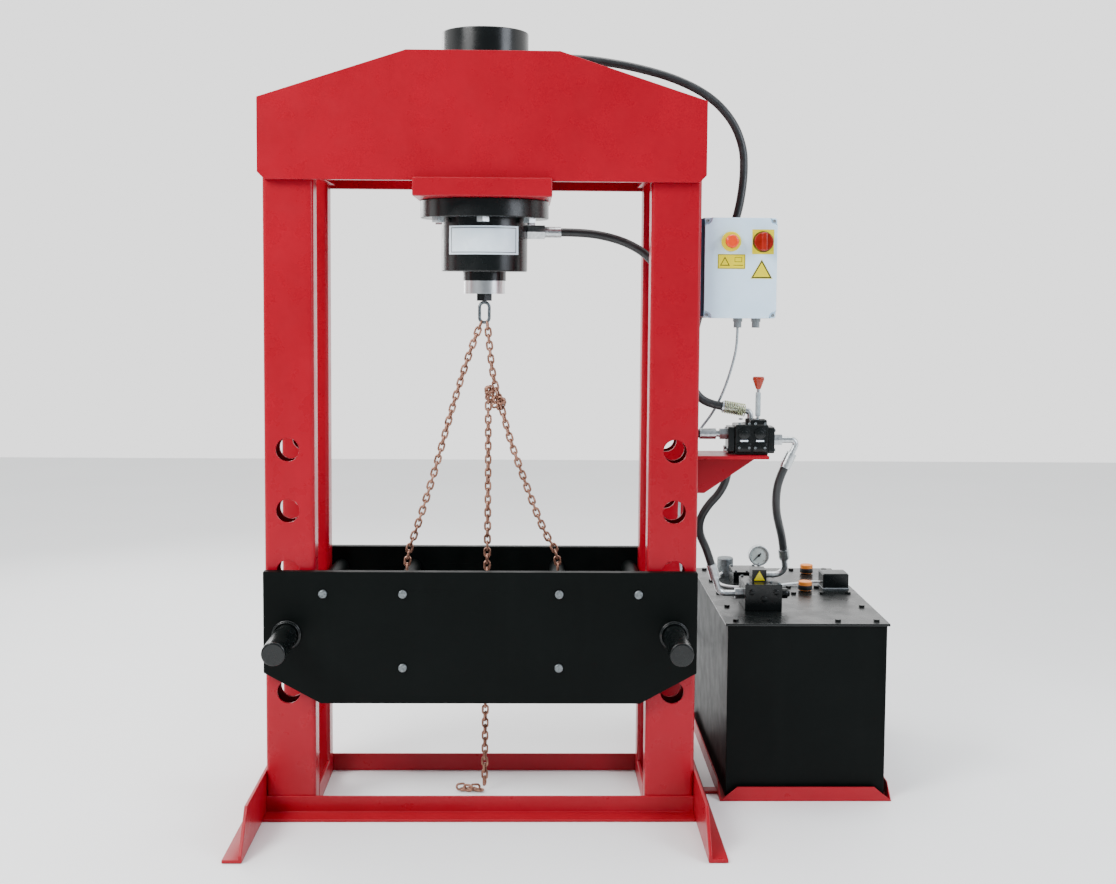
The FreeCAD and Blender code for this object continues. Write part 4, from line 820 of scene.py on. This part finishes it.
def barrelStrip(lowZ, highZ, start, sweep):
    # a small upright sheet swept round the barrel's axis
    bpy.ops.mesh.primitive_plane_add(size=1)
    strip = bpy.context.object
    strip.data.transform(Matrix.Translation((plate["radius"], 0, (lowZ + highZ) / 2))
                         @ Matrix.Rotation(math.radians(90), 4, "X")
                         @ Matrix.Diagonal((plate["thick"], highZ - lowZ, 1, 1)))
    chooseFaces(strip, lambda middle, normal: True)
    bpy.ops.mesh.spin(steps=max(2, int(sweep / 3)), angle=math.radians(sweep), center=(0, 0, 0),
                      axis=(0, 0, 1))
    bpy.ops.mesh.select_all(action="SELECT")
    bpy.ops.mesh.remove_doubles(threshold=0.00001)
    bpy.ops.mesh.normals_make_consistent(inside=False)
    leaveEdit()
    # turned so that its middle, wherever the sweep left it, comes where it is wanted
    middle = sum((v.co for v in strip.data.vertices), Vector())
    turn = math.radians(start + sweep / 2) - math.atan2(middle.y, middle.x)
    strip.data.transform(Matrix.Rotation(turn, 4, "Z"))
    return strip


lineTurn = math.degrees(plate["line"] / plate["radius"])
fromTurn, toTurn = -90 - plate["reach"], -90 + plate["reach"]
outline = [barrelStrip(plate["low"], plate["low"] + plate["line"], fromTurn, 2 * plate["reach"]),
           barrelStrip(plate["high"] - plate["line"], plate["high"], fromTurn, 2 * plate["reach"]),
           barrelStrip(plate["low"], plate["high"], fromTurn, lineTurn),
           barrelStrip(plate["low"], plate["high"], toTurn - lineTurn, lineTurn)]
place(smooth(joined(outline)), "ratingPlateOutline", darkPrint, "frame")

# spring guard over the cap hose's end: one wire wound round, its ends closed
guard = {"start": (0.741, -0.025, 1.236), "axis": (0.985, 0, -0.174), "from": 0.005, "long": 0.067,
         "radius": 0.0188, "wire": 0.0018, "turns": 12}
bpy.ops.mesh.primitive_circle_add(vertices=8, radius=guard["wire"])
coil = bpy.context.object
coil.data.transform(Matrix.Translation((guard["radius"], 0, 0)) @ Matrix.Rotation(math.radians(90), 4, "X"))
winding = coil.modifiers.new("winding", "SCREW")
winding.steps = winding.render_steps = 24
winding.iterations = guard["turns"]
winding.screw_offset = guard["long"] / guard["turns"]
winding.use_smooth_shade = True
applyModifiers(coil)
activate(coil)
bpy.ops.object.mode_set(mode="EDIT")
bpy.ops.mesh.select_all(action="SELECT")
bpy.ops.mesh.remove_doubles(threshold=0.00001)
bpy.ops.mesh.fill_holes(sides=8)
bpy.ops.mesh.normals_make_consistent(inside=False)
leaveEdit()
coil.data.transform(Matrix.Translation(Vector(guard["start"]) + Vector(guard["axis"]) * guard["from"])
                    @ turnTo(guard["axis"]))
place(smooth(coil, 60), "springGuard", yellowZinc, "frame", ["hose_spring_guard"])
print("rating plate and spring guard ready")

# directional valve: two section faces with their plugs, screws and pale blank tiles, end cap screws
valve = {"front": -0.090, "sections": (0.802, 0.851), "boss": 0.0175, "bossZ": 1.158, "top": 1.199,
         "pad": (0.021, 1.099, 1.128), "tile": (0.012, 1.1325, 1.1375), "screwX": 0.015,
         "padScrewZ": 1.1135, "upperScrewZ": 1.188, "ends": (0.7525, 0.8995), "endY": (-0.074, -0.026),
         "endZ": (1.106, 1.166)}
front = valve["front"]
bosses, screws, tiles = [], [], []
for x in valve["sections"]:
    bosses.append(roundBar((x, front - 0.003, valve["bossZ"]), (0, -1, 0), valve["boss"], 0.007, 40, 0.002))
    bosses.append(hexHead((x, front - 0.009, valve["bossZ"]), (0, -1, 0), 0.019, 0.005))
    half, below, above = valve["pad"]
    bosses.append(slab((x - half, front - 0.004, below), (x + half, front + 0.002, above), 0.002))
    half, below, above = valve["tile"]
    tiles.append(slab((x - half, front - 0.0045, below), (x + half, front + 0.001, above), 0.0006))
    for side in (-valve["screwX"], valve["screwX"]):
        screws.append(socketScrew((x + side, front - 0.0055, valve["padScrewZ"]), (0, -1, 0), 0.004, 0.004))
        screws.append(socketScrew((x + side, front - 0.0015, valve["upperScrewZ"]), (0, -1, 0), 0.004, 0.004))
    screws.append(hexHead((x - 0.009, valve["endY"][0], valve["top"] + 0.002), (0, 0, 1), 0.012, 0.005))
for y in valve["endY"]:
    for z in valve["endZ"]:
        screws.append(socketScrew((valve["ends"][0], y, z), (-1, 0, 0), 0.0045, 0.004))
        screws.append(socketScrew((valve["ends"][1], y, z), (1, 0, 0), 0.0045, 0.004))
place(joined(bosses), "valveBosses", blackGloss, "frame")
place(joined(screws), "valveScrews", dullZinc, "frame")
place(joined(tiles), "valveTiles", whiteLabel, "frame")
roundedCopy("lever_knob", "leverKnob", knobPhenolic, 0.002, "lever", 3)
sleeve = {"middle": (0.848, -0.060, 1.2455), "radius": 0.0082, "long": 0.074, "edge": 0.0015}
place(roundBar(sleeve["middle"], (0, 0, 1), sleeve["radius"], sleeve["long"], 28, sleeve["edge"]),
      "leverSleeve", greyPvc, "lever")
print("valve ready")

# tank lid: plugs and screws on the manifolds, warning sign, cap bodies, gasket under the terminal box
manifold = {"front": 0.095, "top": 0.647, "frontPlugs": ((0.865, 0.622), (0.905, 0.600), (0.944, 0.622)),
            "relief": (0.150, 0.607), "fitting": (0.205, 0.617),
            "screws": ((0.852, 0.104), (0.954, 0.104), (0.852, 0.226), (0.954, 0.226), (0.932, 0.128))}
gaugeBlock = {"top": 0.617, "screws": ((0.866, 0.459), (0.943, 0.459), (0.866, 0.561), (0.943, 0.561),
                                       (0.905, 0.459))}
plugs = [hexHead((x, manifold["front"] - 0.0025, z), (0, -1, 0), 0.017, 0.006)
         for x, z in manifold["frontPlugs"]]
plugs.append(roundBar((0.976, *manifold["relief"]), (1, 0, 0), 0.0165, 0.028, 32, 0.003))
plugs.append(roundBar((0.993, *manifold["relief"]), (1, 0, 0), 0.0105, 0.008, 32, 0.002))
place(joined(plugs), "manifoldPlugs", blackGloss, "frame")
place(joined([hexHead((0.966, *manifold["fitting"]), (1, 0, 0), 0.020, 0.008),
              roundBar((0.972, *manifold["fitting"]), (1, 0, 0), 0.007, 0.010, 24, 0.001)]),
      "manifoldFitting", brassMetal, "frame")
screws = [socketScrew((x, y, manifold["top"] + 0.002), (0, 0, 1), 0.005, 0.005)
          for x, y in manifold["screws"]]
screws += [socketScrew((x, y, gaugeBlock["top"]), (0, 0, 1), 0.005, 0.005) for x, y in gaugeBlock["screws"]]
place(joined(screws), "manifoldScrews", dullZinc, "frame")
printedShape("manifoldWarning", 3, (0.8965, 0.146, 0.666), (0.036, 0.032), yellowFoil)
caps = {"filler": (1.098, 0.400), "breather": (1.160, 0.690), "z": 0.574, "radius": 0.0236, "high": 0.017}
for name in ("filler", "breather"):
    place(roundBar((*caps[name], caps["z"]), (0, 0, 1), caps["radius"], caps["high"], 44, 0.0015),
          name + "CapBody", blackPlastic, name)
gasket = {"low": (1.1635, 0.4225, 0.5612), "high": (1.2565, 0.5055, 0.5655), "edge": 0.001}
place(slab(gasket["low"], gasket["high"], gasket["edge"]), "terminalGasket", greyPolyamide, "frame")

# bed pins' bosses: two turned rings on the front plate round each pin
bedPin = {"x": 0.580, "z": 0.560, "wide": (0.0405, 0.0042), "narrow": (0.0385, 0.0030)}
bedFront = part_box("bed_front_plate")[0].y
for side, x in (("left", -bedPin["x"]), ("right", bedPin["x"])):
    rings = [ringAt((x, bedFront - 0.004, bedPin["z"]), (0, 1, 0), *bedPin["wide"]),
             ringAt((x, bedFront - 0.012, bedPin["z"]), (0, 1, 0), *bedPin["narrow"])]
    place(joined(rings), side + "PinBoss", blackGloss, "frame")
print("lid and bed details ready")

# the nodes that keep the mesh they were packed with
for name, material in (
        ("motor_pump_unit", blackGloss),
        ("flange_bolts", zincPlate), ("bed_bolts", dullZinc), ("chain_shackle", forgedSteel),
        ("valve_spool", zincPlate), ("valve_lever", zincPlate), ("gauge_case", zincPlate),
        ("return_filter", dullZinc), ("motor_rotor", zincPlate), ("pump_gear", zincPlate),
        ("hydraulic_fittings", zincPlate), ("lid_bolts", blackGloss),
        ("ram_rod", hardChrome), ("ram_piston", hardChrome), ("rating_plate", whiteLabel),
        # box_body wears the cover's coat darkened as painted shade
        ("box_bracket", darkBracket), ("box_body", boxShadedSideEnamel),
        ("box_glands", greyPolyamide), ("box_labels", yellowFoil),
        ("filler_cap", capOrange), ("breather_cap", capOrange), ("gauge_needle", blackPlastic)):
    for materialSlot in nodes[name].material_slots:
        materialSlot.material = material
print("remaining nodes dressed")
